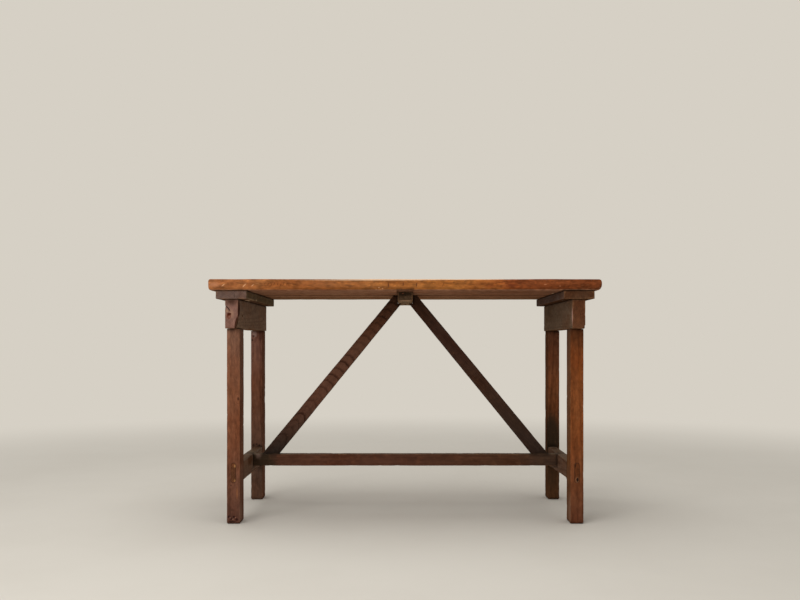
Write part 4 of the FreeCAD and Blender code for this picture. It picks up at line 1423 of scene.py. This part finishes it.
class TRESTLE_OT_bolsters(bpy.types.Operator):
    """Deep top rails of the two end frames, with their dowels"""

    bl_idname = "trestle.bolsters"
    bl_label = "Bolsters"

    def execute(self, context):
        timber = context.scene.trestle_timber
        for i, side in enumerate(SIDES):
            self.build(timber, i, side)
            dress(f"bolster_dowels_{side}", peg_oak(f"dowel oak {side}", "Z", 84 + i))
        return {"FINISHED"}

    def material(self, index, side, node, low, high):
        body = (tone(116, 86, 66), tone(102, 72, 50))[index]
        # Paler inner faces: painted light in place of the fill light they lack.
        inner = (tone(131, 109, 92), tone(109, 91, 75))[index]
        ends = (tone(125, 92, 82), tone(93, 60, 41))[index]
        marks = []
        knots = []
        if side == "left":
            marks = [
                # Painted shadow under the batten across the top of the end face.
                mark(-540, -285.5, 697, (26, 6, 16), tone(72, 48, 37), 0.9, soft=0.85),
                mark(-541, -285.5, 660, (12, 8, 20), tone(166, 128, 104), 0.5, soft=0.8),
                mark(-554, -285.5, 668, (4.5, 8, 7), tone(170, 138, 110), 0.6, soft=0.7),
                mark(-533, -285.5, 633, (4, 6, 18), tone(150, 112, 96), 0.5, soft=0.9),
                mark(-548.5, -285.5, 652, (8.5, 8, 11), tone(104, 60, 46), 0.9, soft=0.4),
                mark(-551, -285.5, 655, (3.6, 8, 6), tone(82, 38, 24), 0.75),
                mark(-547, -285.5, 650, (3.5, 8, 4), tone(132, 94, 82), 0.6),
                # Painted shade along the bottom edge of the end face.
                mark(-545, -285.5, 614, (20, 6, 4), tone(72, 42, 34), 0.7),
                mark(-560, -285.5, 655, (2.2, 6, 46), tone(84, 56, 40), 0.7, soft=0.4),
                # Painted shade down the inner front arris, below the batten.
                mark(-518.6, -276, 676, (3.2, 20, 32), tone(54, 28, 20), 0.95, soft=0.3),
                # Painted shade on the wane and the inner front corner.
                mark(-507, -285, 615, (25, 9, 51), tone(54, 25, 16), 0.95, ragged=0.2, soft=0.12),
                mark(-504.5, -285, 613, (25, 9, 49), tone(64, 45, 31), 0.9, ragged=0.2, soft=0.15),
            ]
            knots = [mark(-547, -285.5, 658.5, (8, 16, 5.5), tone(64, 26, 14), 0.95, ragged=0.4, soft=0.45)]
        else:
            marks = [
                # Painted highlight down the chamfered inner front arris.
                mark(519.6, -284, 652, (2.0, 6, 36), tone(170, 130, 118), 0.75, soft=0.7),
                mark(524, -285.5, 662, (1.7, 4, 42), tone(66, 30, 24), 0.5, soft=0.7),
                mark(538, -285.5, 640, (12, 4, 20), tone(116, 72, 46), 0.4, soft=0.9),
            ]
        # Darker where the bolster meets the batten: painted shade, with dirt in the joint.
        dirt = [(*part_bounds(f"batten_{side}"), 7 * MM, 0.6, DIRT_AND_SHADE)]
        return oak(
            f"oak {node}", "Y", 31.6 + index, [(0.0, body), (1.0, scaled(body, 0.9))], (low, high), marks,
            knots, dirt, figure=0.5, fibre=0.5, bare=(0.18, 0.35)[index], dust=0.0, sides=[((-side_of(side), 0, 0), inner, 0.9), *both_ends("Y", ends)],
        )

    def build(self, timber, index, side):
        node = f"bolster_{side}"
        low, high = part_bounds(node)
        corner = 5 * MM

        def special(y, limits, radii):
            from_front = y - low.y
            if side == "left" and from_front < timber.wane_depth:
                fade = math.cos(from_front / timber.wane_depth * TAU / 4)
                radii[1] = (max(timber.arris, timber.wane * fade), max(timber.arris, timber.wane_height * fade))
            if side == "right":
                limits[0] += rounding(from_front, corner) - rounding(from_front, timber.end_arris)

        piece = straight_bar(f"{node}_oak", "Y", low, high, timber.arris, timber.end_arris, timber.step, special, corner)
        material = self.material(index, side, node, low, high)
        wear(piece, material, 31 + index, timber.wobble, timber.knock)
        tools = dowel_holes(side) + [peg_holes(f"leg_pegs_{side}")]
        for end in ENDS:
            tenon = part_box(f"leg_{end}_{side}", lambda p: p.z > SHOULDER_Z + NEAR)
            tenon[0].z = SHOULDER_Z - timber.arris
            tools.append(tool_box(*grown(tenon, timber.joint_gap)))
        tools += checks(low, CHECKS[node])
        if side == "left":
            tools.append(self.shake(low.y))
        else:
            tools.append(tool_chip((high.x + 1.5 * MM, low.y + 1 * MM, low.z + 1 * MM), (8 * MM, 12 * MM, 12 * MM), (24, 38, 20)))
        joined(piece, tools, "DIFFERENCE")
        finish(piece, material, [node])

    def shake(self, front):
        """Curved crack that follows a ring round the knot, in the left bolster's front end."""
        middle = Vector((-568.5, 661)) * MM
        radius = 24 * MM
        start, stop = math.radians(70), math.radians(10)
        steps = 9
        outer = []
        inner = []
        for k in range(steps + 1):
            angle = start + (stop - start) * k / steps
            half = (0.4 + 1.1 * math.sin(math.pi * k / steps)) * MM
            for side, r in ((outer, radius + half), (inner, radius - half)):
                side.append((middle.x + r * math.cos(angle), middle.y + r * math.sin(angle)))
        return tool_prism(outer + inner[::-1], "Y", front - 2 * MM, front + 14 * MM)


# ------------------------------------------------------------------ legs
# Tone of each leg's inner face, set apart from its body for the light that face gets: painted light and shade.
LEG_INNER = {
    "leg_front_left": (106, 70, 50), "leg_front_right": (101, 69, 42),
    "leg_rear_left": (116, 80, 61), "leg_rear_right": (92, 62, 42),
}
LEG_TONES = {
    "leg_front_left": [(0.0, (90, 60, 49)), (0.4, (120, 77, 55)), (0.7, (123, 78, 54)), (1.0, (134, 96, 76))],
    "leg_front_right": [(0.0, (99, 60, 42)), (0.5, (130, 77, 42)), (0.85, (121, 67, 34)), (1.0, (90, 52, 29))],
    "leg_rear_left": [(0.0, (94, 72, 60)), (0.2, (87, 65, 53)), (0.7, (109, 70, 52)), (1.0, (115, 81, 70))],
    "leg_rear_right": [(0.0, (80, 53, 34)), (0.25, (80, 54, 35)), (0.7, (113, 67, 41)), (1.0, (95, 62, 46))],
}
NAIL_PLACE = [
    mark(540, -256.5, 138.5, (7.5, 5, 12), tone(162, 114, 82), 0.75, soft=0.5),
    mark(541, -256.5, 139, (5, 5, 8.5), tone(26, 13, 9), 0.95, soft=0.4),
]
LEG_MARKS = {
    "leg_front_left": [
        mark(-547, -256.5, 121, (2.5, 4, 2.5), tone(42, 24, 17), 0.85),
        mark(-554, -256.5, 23, (4.5, 5, 5.5), tone(36, 12, 11), 0.95),
        mark(-546, -256.5, 16, (6.5, 5, 4), tone(42, 14, 12), 0.95),
        mark(-538, -256.5, 22, (5, 5, 4.5), tone(34, 12, 11), 0.95),
        mark(-529, -256.5, 14, (6, 5, 6), tone(36, 14, 12), 0.9),
        mark(-543, -256.5, 7, (17, 5, 3.5), tone(38, 20, 15), 0.8),
        mark(-550, -256.5, 19, (2, 5, 2), tone(168, 128, 112), 0.7),
        mark(-541, -256.5, 15, (2.4, 5, 1.8), tone(178, 140, 122), 0.7),
        mark(-533, -256.5, 20, (2, 5, 2.2), tone(160, 116, 98), 0.7),
        # Paler low on the inner face: painted light.
        mark(-518.5, -240, 30, (4, 34, 60), tone(128, 98, 80), 0.55, soft=0.9),
        mark(-528, -256.5, 96, (2.5, 4, 30), tone(172, 108, 62), 0.4, soft=0.8),
        mark(-543, -256.5, 44, (8, 3, 5), tone(60, 36, 26), 0.5),
        mark(-552, -256.5, 470, (3, 3, 60), tone(134, 92, 66), 0.35, soft=0.9),
    ],
    "leg_front_right": [
        mark(555, -256.5, 290, (1.5, 4, 9), tone(56, 29, 18), 0.75),
        mark(558, -256.5, 355, (2, 4, 3), tone(48, 26, 18), 0.8),
        mark(540, -256.5, 40, (9, 3, 16), tone(74, 40, 26), 0.4),
        mark(548, -256.5, 470, (7, 4, 70), tone(136, 76, 34), 0.4, soft=0.9),
        # Painted shade down the inner edge of the front face.
        mark(516.5, -256.5, 240, (5, 7, 190), tone(74, 44, 31), 0.45, ragged=0.3, soft=0.8),
        # Paler low on the inner face: painted light.
        mark(518.5, -240, 40, (4, 34, 80), tone(132, 98, 78), 0.6, soft=0.9),
        *NAIL_PLACE,
    ],
    "leg_rear_left": [
        mark(-546, 189.5, 530, (3.5, 4, 52), tone(150, 106, 82), 0.45, soft=0.9),
        mark(-547, 189.5, 601, (11, 4, 15), tone(146, 118, 108), 0.8, ragged=0.6, soft=0.6),
        mark(-552, 189.5, 198, (4, 4, 5), tone(34, 22, 17), 0.8),
        mark(-540, 189.5, 201, (5, 4, 4), tone(34, 22, 17), 0.8),
        mark(-530, 189.5, 197, (4, 4, 6), tone(34, 22, 17), 0.8),
    ],
    "leg_rear_right": [
        mark(533, 189.5, 458, (2.5, 4, 3), tone(36, 22, 15), 0.8),
        # Painted shadow across the middle of the leg on every face, and fainter painted shade below it.
        mark(527, 194, 226, (46, 42, 108), tone(46, 37, 27), 0.88, ragged=0.3, soft=0.5),
        mark(527, 194, 90, (40, 30, 70), tone(62, 48, 34), 0.4, ragged=0.3, soft=0.8),
    ],
}
LEG_KNOTS = {
    "leg_front_left": [mark(-524.5, -256.5, 393, (5, 12, 7), tone(58, 33, 22), 0.8)],
    "leg_front_right": [],
    "leg_rear_left": [
        mark(-551, 189.5, 594, (6, 14, 4.5), tone(44, 25, 18), 0.85),
        mark(-556, 189.5, 579, (6, 14, 4.5), tone(40, 22, 16), 0.85),
    ],
    "leg_rear_right": [],
}


class TRESTLE_OT_legs(bpy.types.Operator):
    """Four legs with tenons above and worn feet below"""

    bl_idname = "trestle.legs"
    bl_label = "Legs"

    def execute(self, context):
        timber = context.scene.trestle_timber
        for i, side in enumerate(SIDES):
            for k, end in enumerate(ENDS):
                self.build(timber, 2 * i + k, side, end)
        return {"FINISHED"}

    def build(self, timber, index, side, end):
        node = f"leg_{end}_{side}"
        low, high = part_box(node, lambda p: p.z < SHOULDER_Z + NEAR)
        tones = [(at, tone(*swatch)) for at, swatch in LEG_TONES[node]]
        tenon_low, tenon_high = self.low_tenon(side, end)
        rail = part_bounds(f"end_stretcher_{side}")
        touch = end_of(end) * LEG_IN
        beside = ((rail[0].x, touch, rail[0].z), (rail[1].x, touch, rail[1].z))
        # Darker under the bolster, beside the end stretcher and at the foot: dirt with painted shade.
        dirt = [
            ((low.x, low.y, SHOULDER_Z), (high.x, high.y, SHOULDER_Z), 14 * MM, 0.6, DIRT_AND_SHADE),
            (*beside, 16 * MM, 0.6, DIRT_AND_SHADE),
            ((low.x, low.y, 0.0), (high.x, high.y, 0.0), 12 * MM, 0.6, DIRT_AND_SHADE),
        ]
        middle = (tenon_low + tenon_high) / 2
        radius = (tenon_high.x - tenon_low.x) / 2
        rim = (middle, (tenon_high.z - tenon_low.z) / 2 - radius, radius, 3 * MM, tone(36, 20, 13), 0.9)
        material = oak(
            f"oak {node}", "Z", 41.2 + 2.7 * index, tones, (low, high), LEG_MARKS[node], LEG_KNOTS[node], dirt,
            polish=0.2 if end == "front" else 0.0, bare=0.3, dust=0.0, mottle=0.2, rims=[rim],
            sides=[((-side_of(side), 0, 0), tone(*LEG_INNER[node]), 0.7)],
        )

        def special(z, limits, radii):
            worn = rounding(z - low.z, timber.foot) - rounding(z - low.z, timber.end_arris)
            for i, way in enumerate((1, -1, 1, -1)):
                limits[i] += way * worn * (0.6 + 0.4 * math.sin(index * 2.1 + i * 1.3))

        piece = straight_bar(
            f"{node}_oak", "Z", low, high, timber.arris, timber.end_arris, timber.step, special, timber.foot,
        )
        wear(piece, material, 41 + index, timber.wobble, timber.knock, timber.knock)
        tenon = part_box(node, lambda p: p.z > SHOULDER_Z + NEAR)
        tenon[0].z = SHOULDER_Z - timber.step
        joined(piece, [tool_box(*tenon)], "UNION")
        gap = timber.joint_gap
        outline = oblong(tenon_low.x - gap, tenon_high.x + gap, tenon_low.z - 2 * gap, tenon_high.z + 2 * gap)
        slot = tool_prism(outline, "Y", tenon_low.y - 5 * MM, tenon_high.y + 5 * MM)
        tools = [slot, peg_holes(f"leg_pegs_{side}"), peg_holes(f"stretcher_pegs_{side}")]
        joined(piece, tools, "DIFFERENCE")
        finish(piece, material, [node])

    def low_tenon(self, side, end):
        """Box of the end stretcher's tenon in this leg."""
        sign = end_of(end)
        return part_box(f"end_stretcher_{side}", lambda p: p.y * sign > LEG_IN + NEAR)


# ------------------------------------------------------------------ stretchers
class TRESTLE_OT_stretchers(bpy.types.Operator):
    """End stretchers with their through tenons, the long stretcher and its wedges"""

    bl_idname = "trestle.stretchers"
    bl_label = "Stretchers"

    def execute(self, context):
        timber = context.scene.trestle_timber
        for i, side in enumerate(SIDES):
            self.end_stretcher(timber, i, side)
            dress(f"stretcher_wedge_{side}", peg_oak(f"wedge oak {side}", "X", 86 + i, 1.2))
        self.long_stretcher(timber)
        return {"FINISHED"}

    def under_edge(self, node, middle_z):
        """Lower edge of a stretcher as (y, z) points."""
        lowest = {}
        for p in points_of(node):
            if abs(p.y) < LEG_IN + NEAR and p.z < middle_z:
                y = round(p.y, 4)
                lowest[y] = min(lowest.get(y, middle_z), p.z)
        return sorted(lowest.items())

    def end_stretcher(self, timber, index, side):
        node = f"end_stretcher_{side}"
        low, high = part_box(node, lambda p: abs(p.y) < LEG_IN + NEAR)
        edge = [row for row in self.under_edge(node, (low.z + high.z) / 2) if row[1] < low.z + 15 * MM]

        def lower(y):
            for (y0, z0), (y1, z1) in zip(edge, edge[1:]):
                if y <= y1:
                    return z0 + (z1 - z0) * (y - y0) / (y1 - y0)
            return edge[-1][1]

        inner_corner = 2 if side == "left" else 3
        worn = timber.stretcher_arris

        def section(y):
            radii = [even(timber.arris)] * 4
            radii[inner_corner] = even(worn * (0.8 + 0.2 * math.sin(y * 31 + index)))
            return (low.x, high.x, lower(y), high.z), radii

        places = stations(low.y, high.y, timber.step, timber.seam_arris, timber.seam_arris)
        piece = bar(f"{node}_oak", "Y", places, section, timber.step)
        body = (tone(94, 66, 48), tone(94, 65, 47))[index]
        # Paler inner faces: painted light in place of the fill light they lack.
        inner = (tone(119, 97, 81), tone(103, 80, 65))[index]
        # Darker towards the long stretcher and the legs: dirt in the joints with painted shade.
        dirt = [(*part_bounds("long_stretcher"), 12 * MM, 0.6, DIRT_AND_SHADE)]
        for end in ENDS:
            a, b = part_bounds(f"leg_{end}_{side}")
            dirt.append(((a.x, a.y, 0.0), (b.x, b.y, SHOULDER_Z), 14 * MM, 0.5, DIRT_AND_SHADE))
        tenon_x = (low.x + high.x) / 2 / MM
        marks = [
            mark(tenon_x - 1, -257, 182, (4.5, 4, 6.5), tone(186, 134, 84), 0.85),
            mark(tenon_x - 1, -257, 136, (4, 4, 6), tone(180, 128, 80), 0.85),
            # Painted shade on the inner face towards the joint with the long stretcher.
            mark(-517, -72, 180, (8, 62, 28), tone(80, 50, 30), 0.75, ragged=0.3, soft=0.6),
        ] if side == "left" else [
            mark(tenon_x + 1, -257, 183, (4.5, 3, 7), tone(56, 30, 18), 0.8),
            *NAIL_PLACE,
        ]
        end_swatch = (tone(120, 76, 50), tone(120, 68, 38))[index]
        material = oak(
            f"oak {node}", "Y", 51.4 + index, [(0.0, body), (1.0, scaled(body, 0.8))], (low, high), marks, (), dirt,
            polish=0.1, bare=0.6, spread=0.62, dust=0.55,
            sides=[((-side_of(side), 0, 0), inner, 0.9), *both_ends("Y", end_swatch, 1.0)],
        )
        wear(piece, material, 51 + index, timber.wobble, timber.knock)
        for end in ENDS:
            sign = end_of(end)
            a, b = part_box(node, lambda p: p.y * sign > LEG_IN + NEAR)
            inner = sign * (LEG_IN - timber.step)
            outer = b.y if sign > 0 else a.y
            joined(piece, [tool_prism(oblong(a.x, b.x, a.z, b.z), "Y", min(inner, outer), max(inner, outer))], "UNION")
        tenon = self.long_tenon(1 if side == "right" else -1)
        tools = [tool_box(*grown(tenon, timber.joint_gap)), peg_holes(f"stretcher_pegs_{side}")]
        joined(piece, tools, "DIFFERENCE")
        finish(piece, material, [node])

    def long_tenon(self, sign):
        """Box of the long stretcher's tenon at one end."""
        return part_box("long_stretcher", lambda p: p.x * sign > RAIL_IN + NEAR)

    def long_stretcher(self, timber):
        low, high = part_box("long_stretcher", lambda p: abs(p.x) < RAIL_IN + NEAR)
        tones = [
            (0.04, tone(64, 50, 37)), (0.08, tone(93, 61, 46)), (0.5, tone(85, 54, 41)),
            (0.82, tone(85, 57, 41)), (1.0, tone(71, 55, 44)),
        ]
        marks = [mark(-500, -14, 190, (15, 7, 22), tone(124, 100, 90), 0.6, ragged=0.5, soft=0.8)]
        # Darker towards the end stretchers and the brace feet: dirt in the joints with painted shade.
        dirt = []
        for side in SIDES:
            a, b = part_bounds(f"end_stretcher_{side}")
            dirt.append((a, b, (4 if side == "left" else 10) * MM, 0.6, DIRT_AND_SHADE))
            foot = part_box(f"brace_{side}", lambda p: abs(p.z - LONG_TOP) < NEAR)
            dirt.append((*foot, 12 * MM, 0.6, DIRT_AND_SHADE))
        material = oak(
            "oak long_stretcher", "X", 55.8, tones, (low, high), marks, (), dirt, pith=(110 * MM, 20 * MM, 0.0),
            polish=0.12, bare=0.35, dust=0.6, sides=both_ends("X", tone(84, 60, 44), 0.8),
        )
        piece = straight_bar("long_stretcher_oak", "X", low, high, timber.arris, timber.seam_arris, timber.step)
        wear(piece, material, 55, timber.wobble, timber.knock)
        tools = []
        for side in SIDES:
            sign = side_of(side)
            tenon = self.long_tenon(sign)
            inner = sign * (RAIL_IN - timber.step)
            tenon[0].x, tenon[1].x = sorted((inner, tenon[1].x if sign > 0 else tenon[0].x))
            joined(piece, [tool_box(*tenon)], "UNION")
            wedge_low, wedge_high = grown(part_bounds(f"stretcher_wedge_{side}"), 0.05 * MM)
            tools.append(tool_box(wedge_low, wedge_high))
            stub = part_box(f"brace_{side}", lambda p: p.z < LONG_TOP - NEAR)
            stub[1].z = LONG_TOP + timber.step
            tools.append(tool_box(*grown(stub, 0.2 * MM)))
            tools += brad_holes(side)
        joined(piece, tools, "DIFFERENCE")
        finish(piece, material, ["long_stretcher"])


# ------------------------------------------------------------------ braces
class TRESTLE_OT_braces(bpy.types.Operator):
    """Two tapered braces, cut level at the foot and notched round the cleat"""

    bl_idname = "trestle.braces"
    bl_label = "Braces"

    def execute(self, context):
        timber = context.scene.trestle_timber
        for i, side in enumerate(SIDES):
            self.build(timber, i, side)
        return {"FINISHED"}

    def build(self, timber, index, side):
        node = f"brace_{side}"
        sign = side_of(side)
        low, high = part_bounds(node)
        foot = part_box(node, lambda p: abs(p.z - LONG_TOP) < NEAR)
        head = part_box(node, lambda p: abs(p.z - UNDER_Z) < NEAR)
        toe, heel = sorted(abs(corner.x) for corner in foot)
        crown = max(abs(corner.x) for corner in head)
        tip = min(abs(corner.x) for corner in (low, high))

        def section(z):
            outer = heel + (crown - heel) * (z - LONG_TOP) / (UNDER_Z - LONG_TOP)
            inner = toe + (tip - toe) * (z - LONG_TOP) / (CLEAT_LOW.z - LONG_TOP)
            edges = sorted((sign * outer, sign * inner))
            return (edges[0], edges[1], low.y, high.y), [even(timber.arris)] * 4

        places = stations(LONG_TOP, UNDER_Z, timber.step, timber.seam_arris, timber.seam_arris)
        piece = bar(f"{node}_oak", "Z", places, section, timber.step)
        lean = math.atan2((heel - crown) * -sign, UNDER_Z - LONG_TOP)
        tones = (
            [(0.0, tone(53, 44, 38)), (0.35, tone(92, 61, 47)), (0.75, tone(88, 59, 44)), (1.0, tone(71, 50, 38))],
            [(0.0, tone(54, 43, 37)), (0.35, tone(66, 46, 35)), (0.65, tone(65, 44, 35)), (1.0, tone(73, 52, 41))],
        )[index]
        # Darker towards the cleat and the long stretcher: dirt in the joints with painted shade.
        dirt = [
            (CLEAT_LOW, CLEAT_HIGH, 12 * MM, 0.6, DIRT_AND_SHADE),
            (*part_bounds("long_stretcher"), 16 * MM, 0.6, DIRT_AND_SHADE),
        ]
        material = oak(
            f"oak {node}", "Z", 61.9 + index, tones, ((low.x, low.y, LONG_TOP), high), (), (), dirt,
            turn=((-0.27, -lean, 0.0), (0.03, -lean, 0.0))[index], pith=((4 * MM, 108 * MM, 0.0), None)[index],
            ring=(1.15, 1.1)[index], wander=0.5, figure=(1.8, 0.7)[index], band=(0.5, 0.75)[index],
            fibre=(0.4, 0.8)[index],
            polish=0.1, bare=0.2, dust=0.5,
        )
        wear(piece, material, 61 + index, timber.wobble, timber.knock)
        stub = part_box(node, lambda p: p.z < LONG_TOP - NEAR)
        stub[1].z = LONG_TOP + timber.step
        joined(piece, [tool_box(*stub)], "UNION")
        notch = grown((CLEAT_LOW, CLEAT_HIGH), timber.joint_gap)
        notch[0].x, notch[1].x = sorted((sign * notch[1].x, -sign * 0.1))
        joined(piece, [tool_box(*notch)] + brad_holes(side), "DIFFERENCE")
        finish(piece, material, [node])


OPERATORS = (
    TRESTLE_OT_stage,
    TRESTLE_OT_boards,
    TRESTLE_OT_rails,
    TRESTLE_OT_bolsters,
    TRESTLE_OT_legs,
    TRESTLE_OT_stretchers,
    TRESTLE_OT_braces,
    TRESTLE_OT_fixings,
)


class TRESTLE_PT_maker(bpy.types.Panel):
    """Sidebar panel that lists the settings and steps"""

    bl_label = "Trestle Table"
    bl_idname = "TRESTLE_PT_maker"
    bl_space_type = "VIEW_3D"
    bl_region_type = "UI"
    bl_category = "Trestle Table"

    def draw(self, context):
        for name in SETTINGS:
            settings = getattr(context.scene, name)
            box = self.layout.box()
            for field in SETTINGS[name].__annotations__:
                box.prop(settings, field)
        for operator in OPERATORS:
            self.layout.operator(operator.bl_idname)


SETTINGS = {
    "trestle_timber": TrestleTimberSettings,
    "trestle_top": TrestleTopSettings,
    "trestle_finish": TrestleFinishSettings,
    "trestle_stage": TrestleStageSettings,
}


def register():
    for kind in (*SETTINGS.values(), *OPERATORS, TRESTLE_PT_maker):
        bpy.utils.register_class(kind)
    for name, kind in SETTINGS.items():
        setattr(bpy.types.Scene, name, bpy.props.PointerProperty(type=kind))


def unregister():
    for name in SETTINGS:
        delattr(bpy.types.Scene, name)
    for kind in reversed((*SETTINGS.values(), *OPERATORS, TRESTLE_PT_maker)):
        bpy.utils.unregister_class(kind)


def main():
    register()
    for operator in OPERATORS:
        area, name = operator.bl_idname.split(".")
        getattr(getattr(bpy.ops, area), name)()


if __name__ == "__main__":
    main()
